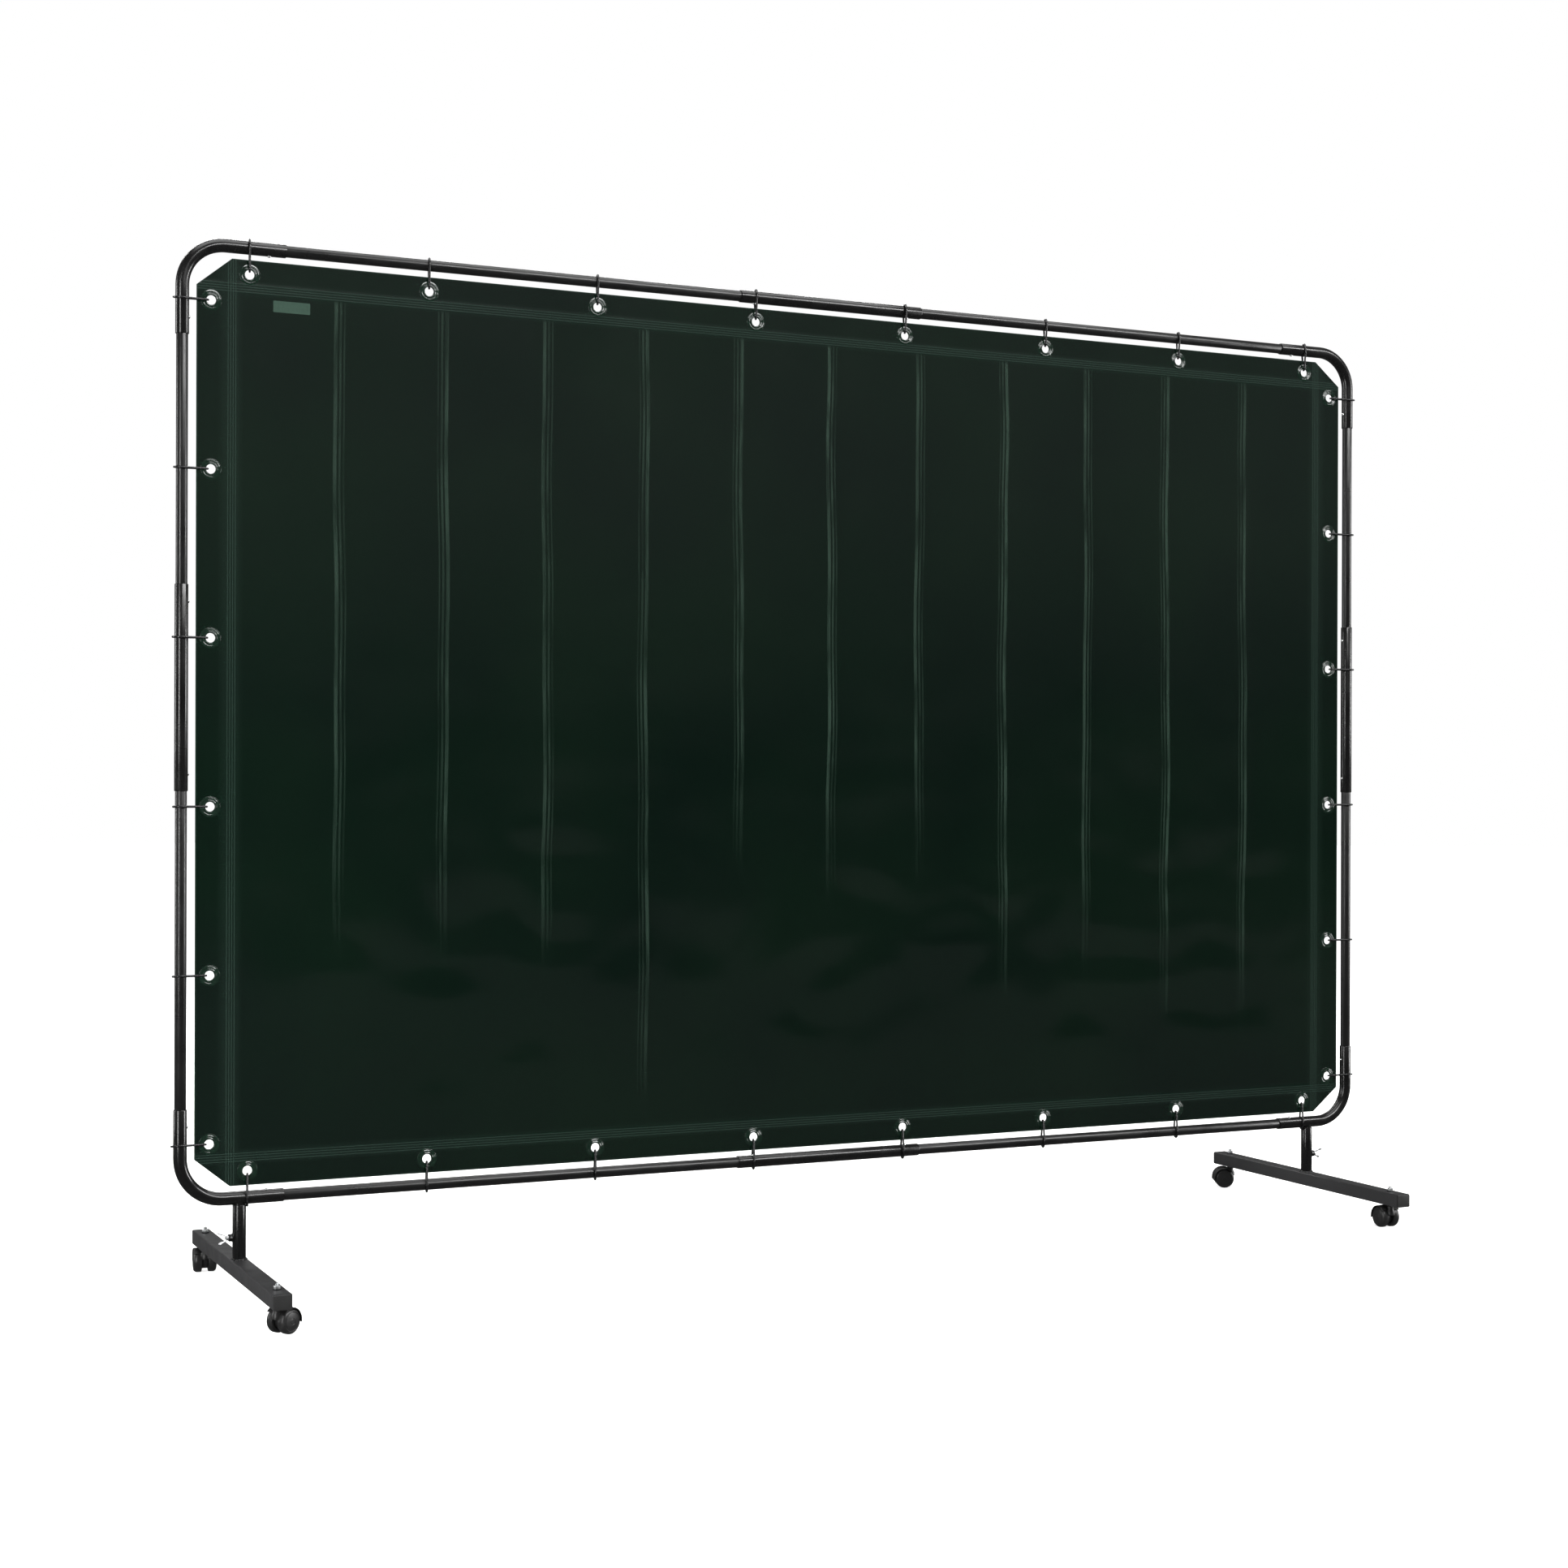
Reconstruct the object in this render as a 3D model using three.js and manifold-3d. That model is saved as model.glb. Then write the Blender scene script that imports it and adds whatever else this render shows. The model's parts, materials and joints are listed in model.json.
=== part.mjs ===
// A wheeled welding curtain screen: a frame of slip-jointed tubes, a film curtain held in it by
// wire rings, and two feet on castors. Millimetres, +X along the screen, +Y to its back, +Z up,
// with the origin on the floor under the middle of the frame.
import * as THREE from "three";
import { mergeVertices } from "three/addons/utils/BufferGeometryUtils.js";
import Module from "manifold-3d";

// Frame
const frameWidth = 2366; // between the axes of the side tubes
const frameHeight = 1566; // between the axes of the top and bottom tubes
const tubeRadius = 9.5; // straight tubes
const tubeWall = 1.2;
const slipClearance = 0.3; // radial, between a tube and the socket round it
const socketWall = 1.2; // corner bends, sleeves and posts
const bendRadius = 70; // to the axis of a corner bend
const cornerArmX = 170; // from the corner of the axes to the mouth of the level arm
const cornerArmZ = 150; // the same for the upright arm
const sleeveLengthX = 370; // top and bottom sleeves
const sleeveLengthZ = 338; // side sleeves
const sleeveRise = 56; // the side sleeves' middle, above the frame's middle
const insertDepth = 55; // of a straight tube in its socket
const mouthBevel = 0.8; // on the outer edge of a socket's mouth

// Snap buttons, each on a V spring in the end of a straight tube
const buttonRadius = 3;
const buttonClearance = 0.3; // radial, in its holes
const buttonFromMouth = 28;
const buttonProud = 1.8; // of the socket's outer face
const buttonTravel = 3.2;
const buttonDome = 1.2; // height of the rounded end
const domeShoulder = 0.7; // share of the button's radius where its dome turns in
const springWidth = 6;
const springThickness = 0.8;
const springLength = 34; // from the button to the bend of the V
const springTail = 5; // past the button, the other way
const springBend = 3; // from the inside of the bend to its outside, along the tube
const springWallGap = 0.35; // between the spring's edges and the tube's bore

// Curtain, its eyelets and the wire rings
const edgeGapX = 23; // side tube's axis to the curtain's edge
const edgeGapZ = 20; // top or bottom tube's axis to the curtain's edge
const cutCornerX = 58;
const cutCornerZ = 47;
const filmThickness = 0.6;
const eyeletInset = 24; // from the curtain's edge to an eyelet's middle
const eyeletRadius = 17;
const eyeletHole = 8;
const eyeletThickness = 2.2;
const eyeletsAlongX = 8;
const eyeletsAlongZ = 6;
const firstEyeletX = 110; // from the side tube's axis
const firstEyeletZ = 91; // from the top or bottom tube's axis
const wireRadius = 1.4;
const ringTipRadius = 5.2; // wire's axis, at the end in the eyelet
const ringGap = 0.3; // to the tube and to the eyelet

// Feet
const beamLength = 600;
const beamWidth = 30;
const beamHeight = 25;
const beamWall = 1.5;
const postInset = 97; // from the side tube's axis to the post's axis
const postLength = 91; // from the beam to the underside of the frame
const stubLength = 70; // below the frame's underside
const weldWidth = 3; // bead round the foot of the post
const seatGap = 0.3; // between pieces that bear on each other

// Wing screws
const screwDrop = 54; // below the frame's underside
const screwRadius = 3;
const screwClearance = 0.3;
const nutRadius = 5.5; // nut welded to the post
const nutLength = 6.5;
const wingHubRadius = 4.2;
const wingHubLength = 5;
const wingHubTaper = 0.8; // share of the hub's radius at its outer end
const wingSpan = 11; // from the screw's axis to the tip of a wing
const wingReach = 12; // of a wing's tip beyond the hub
const wingThickness = 2.4;
const wingWaist = 2; // half the width where the wings leave the hub
const wingTipWidth = 4.5;
const wingTurn = 25; // degrees, of the wings about the screw

// Castors
const wheelRadius = 20;
const wheelWidth = 14;
const wheelSpacing = 11; // between the inner faces of the two wheels
const wheelClearance = 0.3; // at the sides, to the housing's web
const treadEdge = 2; // bevel between a wheel's tread and its faces
const hubBulge = 1; // of a wheel's middle, past its outer face
const axleRadius = 2.5;
const axleClearance = 0.2;
const trail = 14; // from the stem's axis to the axle
const hoodGap = 0.8; // over the wheels
const hoodWall = 1.8;
const hoodToBeam = 2.4; // top of the hood to the underside of the beam
const hoodDrop = 2; // of the hood's ends below the axle
const webRadius = 14;
const bossRadius = 6.5;
const stemRadius = 3;
const stemClearance = 0.2;
const stemDepth = 12; // in the housing
const stemCollarRadius = 7;
const stemCollarHeight = 1.5;
const stemFromEnd = 40; // from the beam's end
const washerRadius = 6.5;
const washerHeight = 1.2;
const nutAcross = 10; // across the stem nut's flats
const nutHeight = 5;
const stemProud = 4; // above its nut

// Facets round each kind of round piece
const tubeSides = 12;
const smallSides = 10;
const eyeletSides = 8;
const wheelSides = 16;
const wireSides = 6;
const bendSteps = 6; // round a corner bend
const ringWideSteps = 5; // round half of a ring's wide end
const ringTipSteps = 3; // round half of its tip
const ringLap = 2; // degrees, by which a ring's halves run into each other

// Worked-out sizes
const rad = THREE.MathUtils.degToRad;
const axisX = new THREE.Vector3(1, 0, 0);
const axisY = new THREE.Vector3(0, 1, 0);
const axisZ = new THREE.Vector3(0, 0, 1);
const socketBore = tubeRadius + slipClearance;
const socketRadius = socketBore + socketWall;
const tubeBore = tubeRadius - tubeWall;
const halfWidth = frameWidth / 2;
const castorHeight = 2 * wheelRadius + hoodGap + hoodWall + hoodToBeam; // floor to the beam
const frameUnderside = castorHeight + beamHeight + postLength;
const bottomZ = frameUnderside + socketRadius;
const topZ = bottomZ + frameHeight;
const middleZ = (bottomZ + topZ) / 2;
const sleeveZ = middleZ + sleeveRise;
const postX = halfWidth - postInset;
const beamTop = castorHeight + beamHeight;

const finishes = {
  frameTube: new THREE.MeshStandardMaterial({ color: 0x17181a, roughness: 0.35, metalness: 0.4 }),
  zinc: new THREE.MeshStandardMaterial({ color: 0xc9cdd0, roughness: 0.3, metalness: 1 }),
  film: new THREE.MeshStandardMaterial({ color: 0x16221c, roughness: 0.2, metalness: 0 }),
  wire: new THREE.MeshStandardMaterial({ color: 0x0c0c0d, roughness: 0.3, metalness: 0.3 }),
  footPaint: new THREE.MeshStandardMaterial({ color: 0x2c2c2d, roughness: 0.5, metalness: 0.2 }),
  nylon: new THREE.MeshStandardMaterial({ color: 0x1b1b1c, roughness: 0.6, metalness: 0 }),
};

const wasm = await Module();
wasm.setup();

// A closed geometry as a manifold solid.
function toSolid(geometry) {
  const bare = geometry.index ? geometry.toNonIndexed() : geometry.clone();
  bare.deleteAttribute("normal");
  bare.deleteAttribute("uv");
  const merged = mergeVertices(bare, 1e-4);
  const mesh = new wasm.Mesh({
    numProp: 3,
    vertProperties: merged.attributes.position.array,
    triVerts: new Uint32Array(merged.index.array),
  });
  return new wasm.Manifold(mesh);
}

// A manifold solid as a geometry.
function toGeometry(solid) {
  const mesh = solid.getMesh();
  const positions = new Float32Array(mesh.numVert * 3);
  for (let i = 0; i < mesh.numVert; i++) {
    positions.set(mesh.vertProperties.subarray(i * mesh.numProp, i * mesh.numProp + 3), i * 3);
  }
  const geometry = new THREE.BufferGeometry();
  geometry.setAttribute("position", new THREE.BufferAttribute(positions, 3));
  geometry.setIndex(new THREE.BufferAttribute(mesh.triVerts, 1));
  return geometry.toNonIndexed();
}

// The first solid joined with the others.
function join(first, ...others) {
  return others.reduce((made, other) => made.add(other), first);
}

// The first solid with the others cut from it.
function cut(first, ...others) {
  return others.reduce((made, other) => made.subtract(other), first);
}

// A turned solid about +Z from [radius, z] points that run up its outside.
function turned(profile, sides) {
  const points = profile.map(([r, z]) => new THREE.Vector2(r, z));
  const geometry = new THREE.LatheGeometry(points, sides);
  return toSolid(geometry.rotateX(Math.PI / 2));
}

// A cylinder on +Z between two heights.
function rod(radius, low, high, sides = smallSides) {
  return turned([[0, low], [radius, low], [radius, high], [0, high]], sides);
}

// The corner radius of a polygon whose flats touch a circle, so that a bore is never undersized.
function boreCorner(radius, sides) {
  return radius / Math.cos(Math.PI / sides);
}

// A bore tool on +Z between two heights.
function bore(radius, low, high, sides = smallSides) {
  return rod(boreCorner(radius, sides), low, high, sides);
}

// A solid moved and turned by a matrix made from a quaternion and a place.
function placed(solid, position, quaternion = new THREE.Quaternion()) {
  const matrix = new THREE.Matrix4().compose(position, quaternion, new THREE.Vector3(1, 1, 1));
  return solid.transform(matrix.elements);
}

// The turn that takes +Z to a direction.
function towards(direction) {
  return new THREE.Quaternion().setFromUnitVectors(axisZ, direction);
}

// A path through stations, each a point and the direction there, with one step to the next.
class StationPath extends THREE.Curve {
  constructor(stations) {
    super();
    this.stations = stations;
  }

  station(u) {
    return this.stations[Math.round(u * (this.stations.length - 1))];
  }

  getPointAt(u) {
    return this.station(u).point.clone();
  }

  getTangentAt(u) {
    return this.station(u).direction.clone();
  }
}

// Stations round an arc, from one angle in degrees to another, in the plane of two axes.
function arcStations([axisA, axisB], [a0, b0], radius, from, to, steps) {
  const inPlane = (a, b) => axisA.clone().multiplyScalar(a).addScaledVector(axisB, b);
  const sense = Math.sign(to - from);
  return Array.from({ length: steps + 1 }, (_, i) => {
    const angle = rad(from + ((to - from) * i) / steps);
    const cos = Math.cos(angle);
    const sin = Math.sin(angle);
    return {
      point: inPlane(a0 + radius * cos, b0 + radius * sin),
      direction: inPlane(-sense * sin, sense * cos),
    };
  });
}

// A round bar along stations.
function bar(radius, stations, sides) {
  const section = new THREE.Shape();
  section.absarc(0, 0, radius, 0, 2 * Math.PI);
  const path = new StationPath(stations);
  const settings = { steps: stations.length - 1, curveSegments: sides / 2, extrudePath: path };
  return toSolid(new THREE.ExtrudeGeometry(section, settings));
}

// A bar round a corner between a level arm towards +X and an upright arm towards -Z, with the
// corner of the axes at the origin.
function cornerBar(radius, armX, armZ) {
  return bar(radius, [
    { point: new THREE.Vector3(armX, 0, 0), direction: new THREE.Vector3(-1, 0, 0) },
    ...arcStations([axisX, axisZ], [bendRadius, -bendRadius], bendRadius, 90, 180, bendSteps),
    { point: new THREE.Vector3(0, 0, -armZ), direction: new THREE.Vector3(0, 0, -1) },
  ], tubeSides);
}

// The collar of material to take off a socket's mouth to bevel it. The mouth faces +Z at 0.
function mouthChamfer() {
  const r = socketRadius;
  const b = mouthBevel;
  return turned([[r - b, 0], [r, -b], [r + b, -b], [r + b, b], [r - b, b], [r - b, 0]], tubeSides);
}

// A hole for a snap button through the near walls of a tube and its socket, along +Z from the
// tube's axis.
function buttonHole() {
  return bore(buttonRadius + buttonClearance, tubeBore / 2, socketRadius + buttonProud);
}

// A top corner bend, drawn for the left with the corner of the axes at the origin.
function topBend() {
  const outside = cornerBar(socketRadius, cornerArmX, cornerArmZ);
  const hollow = cornerBar(boreCorner(socketBore, tubeSides), cornerArmX + 1, cornerArmZ + 1);
  const mouthX = new THREE.Vector3(cornerArmX, 0, 0);
  const mouthZ = new THREE.Vector3(0, 0, -cornerArmZ);
  const holeX = new THREE.Vector3(cornerArmX - buttonFromMouth, 0, 0);
  const holeZ = new THREE.Vector3(0, 0, buttonFromMouth - cornerArmZ);
  return cut(
    outside,
    hollow,
    placed(mouthChamfer(), mouthX, towards(axisX)),
    placed(mouthChamfer(), mouthZ, towards(axisZ.clone().negate())),
    placed(buttonHole(), holeX, towards(axisZ.clone().negate())),
    placed(buttonHole(), holeZ, towards(axisX)),
  );
}

// A bottom corner bend for the left: the top one turned over, with a stub down into the post.
function bottomBend() {
  const origin = new THREE.Vector3();
  const turnOver = new THREE.Quaternion().setFromAxisAngle(axisX, Math.PI);
  const bend = placed(topBend(), origin, turnOver);
  const length = socketRadius + stubLength;
  const at = new THREE.Vector3(postInset, 0, 0);
  const armHollow = placed(bore(socketBore, 0, cornerArmX, tubeSides), origin, towards(axisX));
  const stub = cut(placed(rod(tubeRadius, -length, 0, tubeSides), at), armHollow);
  return cut(join(bend, stub), placed(bore(tubeBore, -length - 1, -socketRadius, tubeSides), at));
}

// A straight tube on +Z from 0, with a button hole at each end that faces +X.
function straightTube(length) {
  const corner = boreCorner(tubeBore, tubeSides);
  const r = tubeRadius;
  const wall = turned([[corner, 0], [r, 0], [r, length], [corner, length], [corner, 0]], tubeSides);
  const side = towards(axisX);
  const fromEnd = insertDepth - buttonFromMouth;
  return cut(
    wall,
    placed(buttonHole(), new THREE.Vector3(0, 0, fromEnd), side),
    placed(buttonHole(), new THREE.Vector3(0, 0, length - fromEnd), side),
  );
}

// A sleeve on +Z, centred, with bevelled mouths and its button holes facing +X.
function sleeve(length) {
  const half = length / 2;
  const corner = boreCorner(socketBore, tubeSides);
  const r = socketRadius;
  const b = mouthBevel;
  const wall = turned([
    [corner, -half], [r - b, -half], [r, b - half], [r, half - b], [r - b, half], [corner, half],
    [corner, -half],
  ], tubeSides);
  const side = towards(axisX);
  const at = half - buttonFromMouth;
  return cut(
    wall,
    placed(buttonHole(), new THREE.Vector3(0, 0, at), side),
    placed(buttonHole(), new THREE.Vector3(0, 0, -at), side),
  );
}

// A snap button on its V spring. The button points along +Z from the tube's axis, and the spring
// runs along +X in the tube.
function snapButton() {
  const halfSpring = springWidth / 2;
  const legTop = Math.sqrt((tubeBore - springWallGap) ** 2 - halfSpring ** 2);
  const legUnder = legTop - springThickness;
  const tipBottom = buttonTravel - legTop;
  const tipTop = tipBottom + springThickness;
  const outline = new THREE.Shape([
    [-springTail, legTop], [-springTail, legUnder], [springLength - springBend, legUnder],
    [0, tipTop], [0, tipBottom], [springLength, legUnder - springThickness], [springLength, legTop],
  ].map(([x, z]) => new THREE.Vector2(x, z)));
  const strip = new THREE.ExtrudeGeometry(outline, { depth: springWidth, bevelEnabled: false });
  strip.translate(0, 0, -halfSpring).rotateX(Math.PI / 2);
  const root = (legTop + legUnder) / 2;
  const top = socketRadius + buttonProud;
  const pin = turned([
    [0, root], [buttonRadius, root], [buttonRadius, top - buttonDome],
    [buttonRadius * domeShoulder, top - buttonDome * (1 - domeShoulder)], [0, top],
  ], smallSides);
  return join(toSolid(strip), pin);
}

// The middles of n eyelets along one side, spread evenly between two places.
function spread(count, first, last) {
  return Array.from({ length: count }, (_, i) => first + ((last - first) * i) / (count - 1));
}

const eyeletX = spread(eyeletsAlongX, firstEyeletX - halfWidth, halfWidth - firstEyeletX);
const eyeletZ = spread(eyeletsAlongZ, bottomZ + firstEyeletZ, topZ - firstEyeletZ);
const eyeletDropX = edgeGapX + eyeletInset; // side tube's axis to the side eyelets
const eyeletDropZ = edgeGapZ + eyeletInset; // top or bottom tube's axis to the eyelets there

// The curtain: a flat film with cut corners and an eyelet ring set in at each hole.
function curtain() {
  const right = halfWidth - edgeGapX;
  const low = bottomZ + edgeGapZ;
  const high = topZ - edgeGapZ;
  const film = new THREE.Shape([
    [cutCornerX - right, low], [right - cutCornerX, low], [right, low + cutCornerZ],
    [right, high - cutCornerZ], [right - cutCornerX, high], [cutCornerX - right, high],
    [-right, high - cutCornerZ], [-right, low + cutCornerZ],
  ].map(([x, z]) => new THREE.Vector2(x, z)));
  const sheet = new THREE.ExtrudeGeometry(film, { depth: filmThickness, bevelEnabled: false });
  sheet.translate(0, 0, -filmThickness / 2).rotateX(Math.PI / 2);
  const places = [
    ...eyeletX.flatMap((x) => [[x, bottomZ + eyeletDropZ], [x, topZ - eyeletDropZ]]),
    ...eyeletZ.flatMap((z) => [[eyeletDropX - halfWidth, z], [halfWidth - eyeletDropX, z]]),
  ];
  const back = towards(axisY);
  const half = eyeletThickness / 2;
  const flange = rod(eyeletRadius, -half, half, eyeletSides);
  const hole = bore(eyeletHole, -eyeletThickness, eyeletThickness, eyeletSides);
  const at = places.map(([x, z]) => new THREE.Vector3(x, 0, z));
  const grown = join(toSolid(sheet), ...at.map((place) => placed(flange, place, back)));
  return cut(grown, ...at.map((place) => placed(hole, place, back)));
}

// A wire ring that hangs on a tube along X at the origin and holds an eyelet below it: half
// round the tube, two legs that close in, and a small half round through the eyelet.
function wireRing(carrierRadius) {
  const wide = carrierRadius + ringGap + wireRadius;
  const tipDrop = eyeletDropZ - eyeletHole + ringGap + wireRadius - ringTipRadius;
  const lean = THREE.MathUtils.radToDeg(Math.asin((wide - ringTipRadius) / tipDrop));
  const plane = [axisY, axisZ];
  const half = bar(wireRadius, [
    ...arcStations(plane, [0, 0], wide, 90 + ringLap, -lean, ringWideSteps),
    ...arcStations(plane, [0, -tipDrop], ringTipRadius, -lean, -90 - ringLap, ringTipSteps),
  ], wireSides);
  const turn = new THREE.Quaternion().setFromAxisAngle(axisZ, Math.PI);
  return join(half, placed(half, new THREE.Vector3(), turn));
}

// The radius of the tube along the top at a place: a bend's arm, a sleeve or a straight tube.
function topTubeRadius(x) {
  const onArm = Math.abs(x) > halfWidth - cornerArmX;
  const onSleeve = Math.abs(x) < sleeveLengthX / 2;
  return onArm || onSleeve ? socketRadius : tubeRadius;
}

// A foot's beam: a rectangular tube along Y with its underside at 0 and holes for the stems.
function footBeam() {
  const rectangle = (width, low, high) => [
    [-width / 2, low], [width / 2, low], [width / 2, high], [-width / 2, high],
  ].map(([x, z]) => new THREE.Vector2(x, z));
  const section = new THREE.Shape(rectangle(beamWidth, 0, beamHeight));
  const hollow = rectangle(beamWidth - 2 * beamWall, beamWall, beamHeight - beamWall);
  section.holes.push(new THREE.Path(hollow));
  const tube = new THREE.ExtrudeGeometry(section, { depth: beamLength, bevelEnabled: false });
  tube.translate(0, 0, -beamLength / 2).rotateX(Math.PI / 2);
  const hole = bore(stemRadius + seatGap, -1, beamHeight + 1);
  const stemY = beamLength / 2 - stemFromEnd;
  const holes = [-stemY, stemY].map((y) => placed(hole, new THREE.Vector3(0, y, 0)));
  return cut(toSolid(tube), ...holes);
}

// A post on +Z from the beam's top face at 0, with a weld bead at its foot and the clamp screw's
// nut welded to its +X side.
function footPost() {
  const low = seatGap;
  const high = postLength - seatGap;
  const corner = boreCorner(socketBore, tubeSides);
  const r = socketRadius;
  const wall = turned([
    [0, low], [r + weldWidth, low], [r, low + weldWidth], [r, high], [0, high],
  ], tubeSides);
  const screwZ = new THREE.Vector3(0, 0, postLength - screwDrop);
  const nut = placed(rod(nutRadius, socketBore, r + nutLength), screwZ, towards(axisX));
  const thread = bore(screwRadius + screwClearance, 0, r + nutLength + 1);
  return cut(
    join(wall, nut),
    rod(corner, low - 1, high + 1, tubeSides),
    placed(thread, screwZ, towards(axisX)),
  );
}

// A wing screw along +Z, with the post's axis at the origin and its tip against the stub.
function wingScrew() {
  const hubLow = socketRadius + nutLength + seatGap;
  const hubHigh = hubLow + wingHubLength;
  const tip = hubHigh + wingReach;
  const shank = rod(screwRadius, tubeRadius + seatGap, hubHigh - 1);
  const hub = turned([
    [0, hubLow], [wingHubRadius, hubLow], [wingHubRadius * wingHubTaper, hubHigh], [0, hubHigh],
  ], smallSides);
  const lobe = [
    [wingWaist, (hubLow + hubHigh) / 2], [wingSpan - wingTipWidth / 4, tip - wingTipWidth],
    [wingSpan, tip - wingTipWidth / 2], [wingSpan - wingTipWidth / 4, tip],
    [wingSpan - wingTipWidth, tip], [wingWaist, hubHigh],
  ];
  const mirrored = lobe.map(([x, z]) => [-x, z]).reverse();
  const outline = [...lobe, ...mirrored].map(([x, z]) => new THREE.Vector2(x, z));
  const wings = new THREE.ExtrudeGeometry(new THREE.Shape(outline), {
    depth: wingThickness,
    bevelEnabled: false,
  });
  wings.translate(0, 0, -wingThickness / 2).rotateX(Math.PI / 2);
  return join(shank, hub, toSolid(wings));
}

// A castor's fixed stem on +Z from the floor at 0: collar under the beam, washer and nut on it.
function castorStem() {
  const collarTop = castorHeight - seatGap;
  const washerLow = castorHeight + beamHeight + seatGap;
  const nutLow = washerLow + washerHeight;
  const nutHigh = nutLow + nutHeight;
  const bottom = bossTop - stemDepth + seatGap;
  return join(
    rod(stemRadius, bottom, nutHigh + stemProud),
    rod(stemCollarRadius, collarTop - stemCollarHeight, collarTop),
    rod(washerRadius, washerLow, nutLow),
    rod(boreCorner(nutAcross / 2, 6), nutLow, nutHigh, 6),
  );
}

const bossTop = castorHeight - 2 * seatGap - stemCollarHeight;
const webHalf = wheelSpacing / 2 - wheelClearance;
const wheelOuter = wheelSpacing / 2 + wheelWidth;
const hoodInner = wheelRadius + hoodGap;

// A castor's housing, with the stem's axis on Z and the wheels' axle behind it along Y: a web
// between the wheels, a hood over them and a boss for the stem.
function castorHousing() {
  const axle = new THREE.Vector3(trail, 0, wheelRadius);
  const level = towards(axisY);
  const hoodOuter = hoodInner + hoodWall;
  const drum = placed(rod(hoodOuter, -wheelOuter, wheelOuter, wheelSides), axle, level);
  const upper = new THREE.BoxGeometry(4 * wheelRadius, 4 * wheelRadius, 2 * hoodOuter);
  upper.translate(trail, 0, wheelRadius - hoodDrop + hoodOuter);
  const cover = drum.intersect(toSolid(upper));
  const web = placed(rod(webRadius, -webHalf, webHalf, tubeSides), axle, level);
  const boss = rod(bossRadius, wheelRadius, bossTop, tubeSides);
  const wheelRoom = bore(hoodInner, webHalf, wheelOuter + 1, wheelSides);
  const back = towards(axisY.clone().negate());
  return cut(
    join(cover, web, boss),
    placed(wheelRoom, axle, level),
    placed(wheelRoom, axle, back),
    placed(bore(axleRadius + axleClearance, -webHalf - 1, webHalf + 1), axle, level),
    bore(stemRadius + stemClearance, bossTop - stemDepth, bossTop + 1),
  );
}

// A castor's two wheels on their axle, along +Z and centred.
function castorWheels() {
  const inner = wheelSpacing / 2;
  const r = boreCorner(wheelRadius, wheelSides); // so that the tread's flats touch the floor
  const half = [
    [axleRadius, inner], [r - treadEdge, inner], [r, inner + treadEdge],
    [r, wheelOuter - treadEdge], [r - treadEdge, wheelOuter], [0, wheelOuter + hubBulge],
  ];
  const mirrored = half.map(([x, z]) => [x, -z]).reverse();
  return turned([...mirrored, ...half], wheelSides);
}

// The scene: groups hold pieces that stand together.
const screen = new THREE.Group();

// A named piece in a group.
function add(group, name, solid, finish, position = new THREE.Vector3()) {
  const mesh = new THREE.Mesh(toGeometry(solid), finish);
  mesh.name = name;
  mesh.position.copy(position);
  group.add(mesh);
  return mesh;
}

// A group at a place, with its own X and Z axes turned to two directions.
function frameAt(parent, position, alongX, alongZ) {
  const group = new THREE.Group();
  const alongY = new THREE.Vector3().crossVectors(alongZ, alongX);
  const basis = new THREE.Matrix4().makeBasis(alongX, alongY, alongZ);
  group.quaternion.setFromRotationMatrix(basis);
  group.position.copy(position);
  parent.add(group);
  return group;
}

// The four corner bends. The right-hand ones are the left-hand ones turned half round.
const bends = { top: topBend(), bottom: bottomBend() };
for (const [side, sign] of [["left", -1], ["right", 1]]) {
  for (const [level, z] of [["top", topZ], ["bottom", bottomZ]]) {
    const at = new THREE.Vector3(sign * halfWidth, 0, z);
    const bend = add(screen, `corner_bend_${level}_${side}`, bends[level], finishes.frameTube, at);
    bend.rotation.z = sign > 0 ? Math.PI : 0;
  }
}

// A straight tube from a place along a direction, with its two snap buttons facing the curtain.
const button = snapButton();
function addTube(name, start, along, inward, length, buttonNames) {
  const group = frameAt(screen, start, inward, along);
  add(group, name, straightTube(length), finishes.frameTube);
  const fromEnd = insertDepth - buttonFromMouth;
  const ends = [[fromEnd, axisZ], [length - fromEnd, axisZ.clone().negate()]];
  ends.forEach(([z, toMiddle], i) => {
    const seat = frameAt(group, new THREE.Vector3(0, 0, z), toMiddle, axisX);
    add(seat, buttonNames[i], button, finishes.zinc);
  });
}

// The top and bottom: a sleeve in the middle with a straight tube to each side.
const railLength = halfWidth - cornerArmX - sleeveLengthX / 2 + 2 * insertDepth;
const sleeveX = sleeve(sleeveLengthX);
const levels = [["top", topZ, axisZ.clone().negate()], ["bottom", bottomZ, axisZ]];
for (const [level, z, inward] of levels) {
  const middle = frameAt(screen, new THREE.Vector3(0, 0, z), inward, axisX);
  add(middle, `sleeve_${level}`, sleeveX, finishes.frameTube);
  const starts = [
    ["left", cornerArmX - insertDepth - halfWidth, [1, 2]],
    ["right", sleeveLengthX / 2 - insertDepth, [3, 4]],
  ];
  for (const [side, x, numbers] of starts) {
    const names = numbers.map((n) => `snap_button_${level}_${n}`);
    const at = new THREE.Vector3(x, 0, z);
    addTube(`rail_${level}_${side}`, at, axisX, inward, railLength, names);
  }
}

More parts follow.
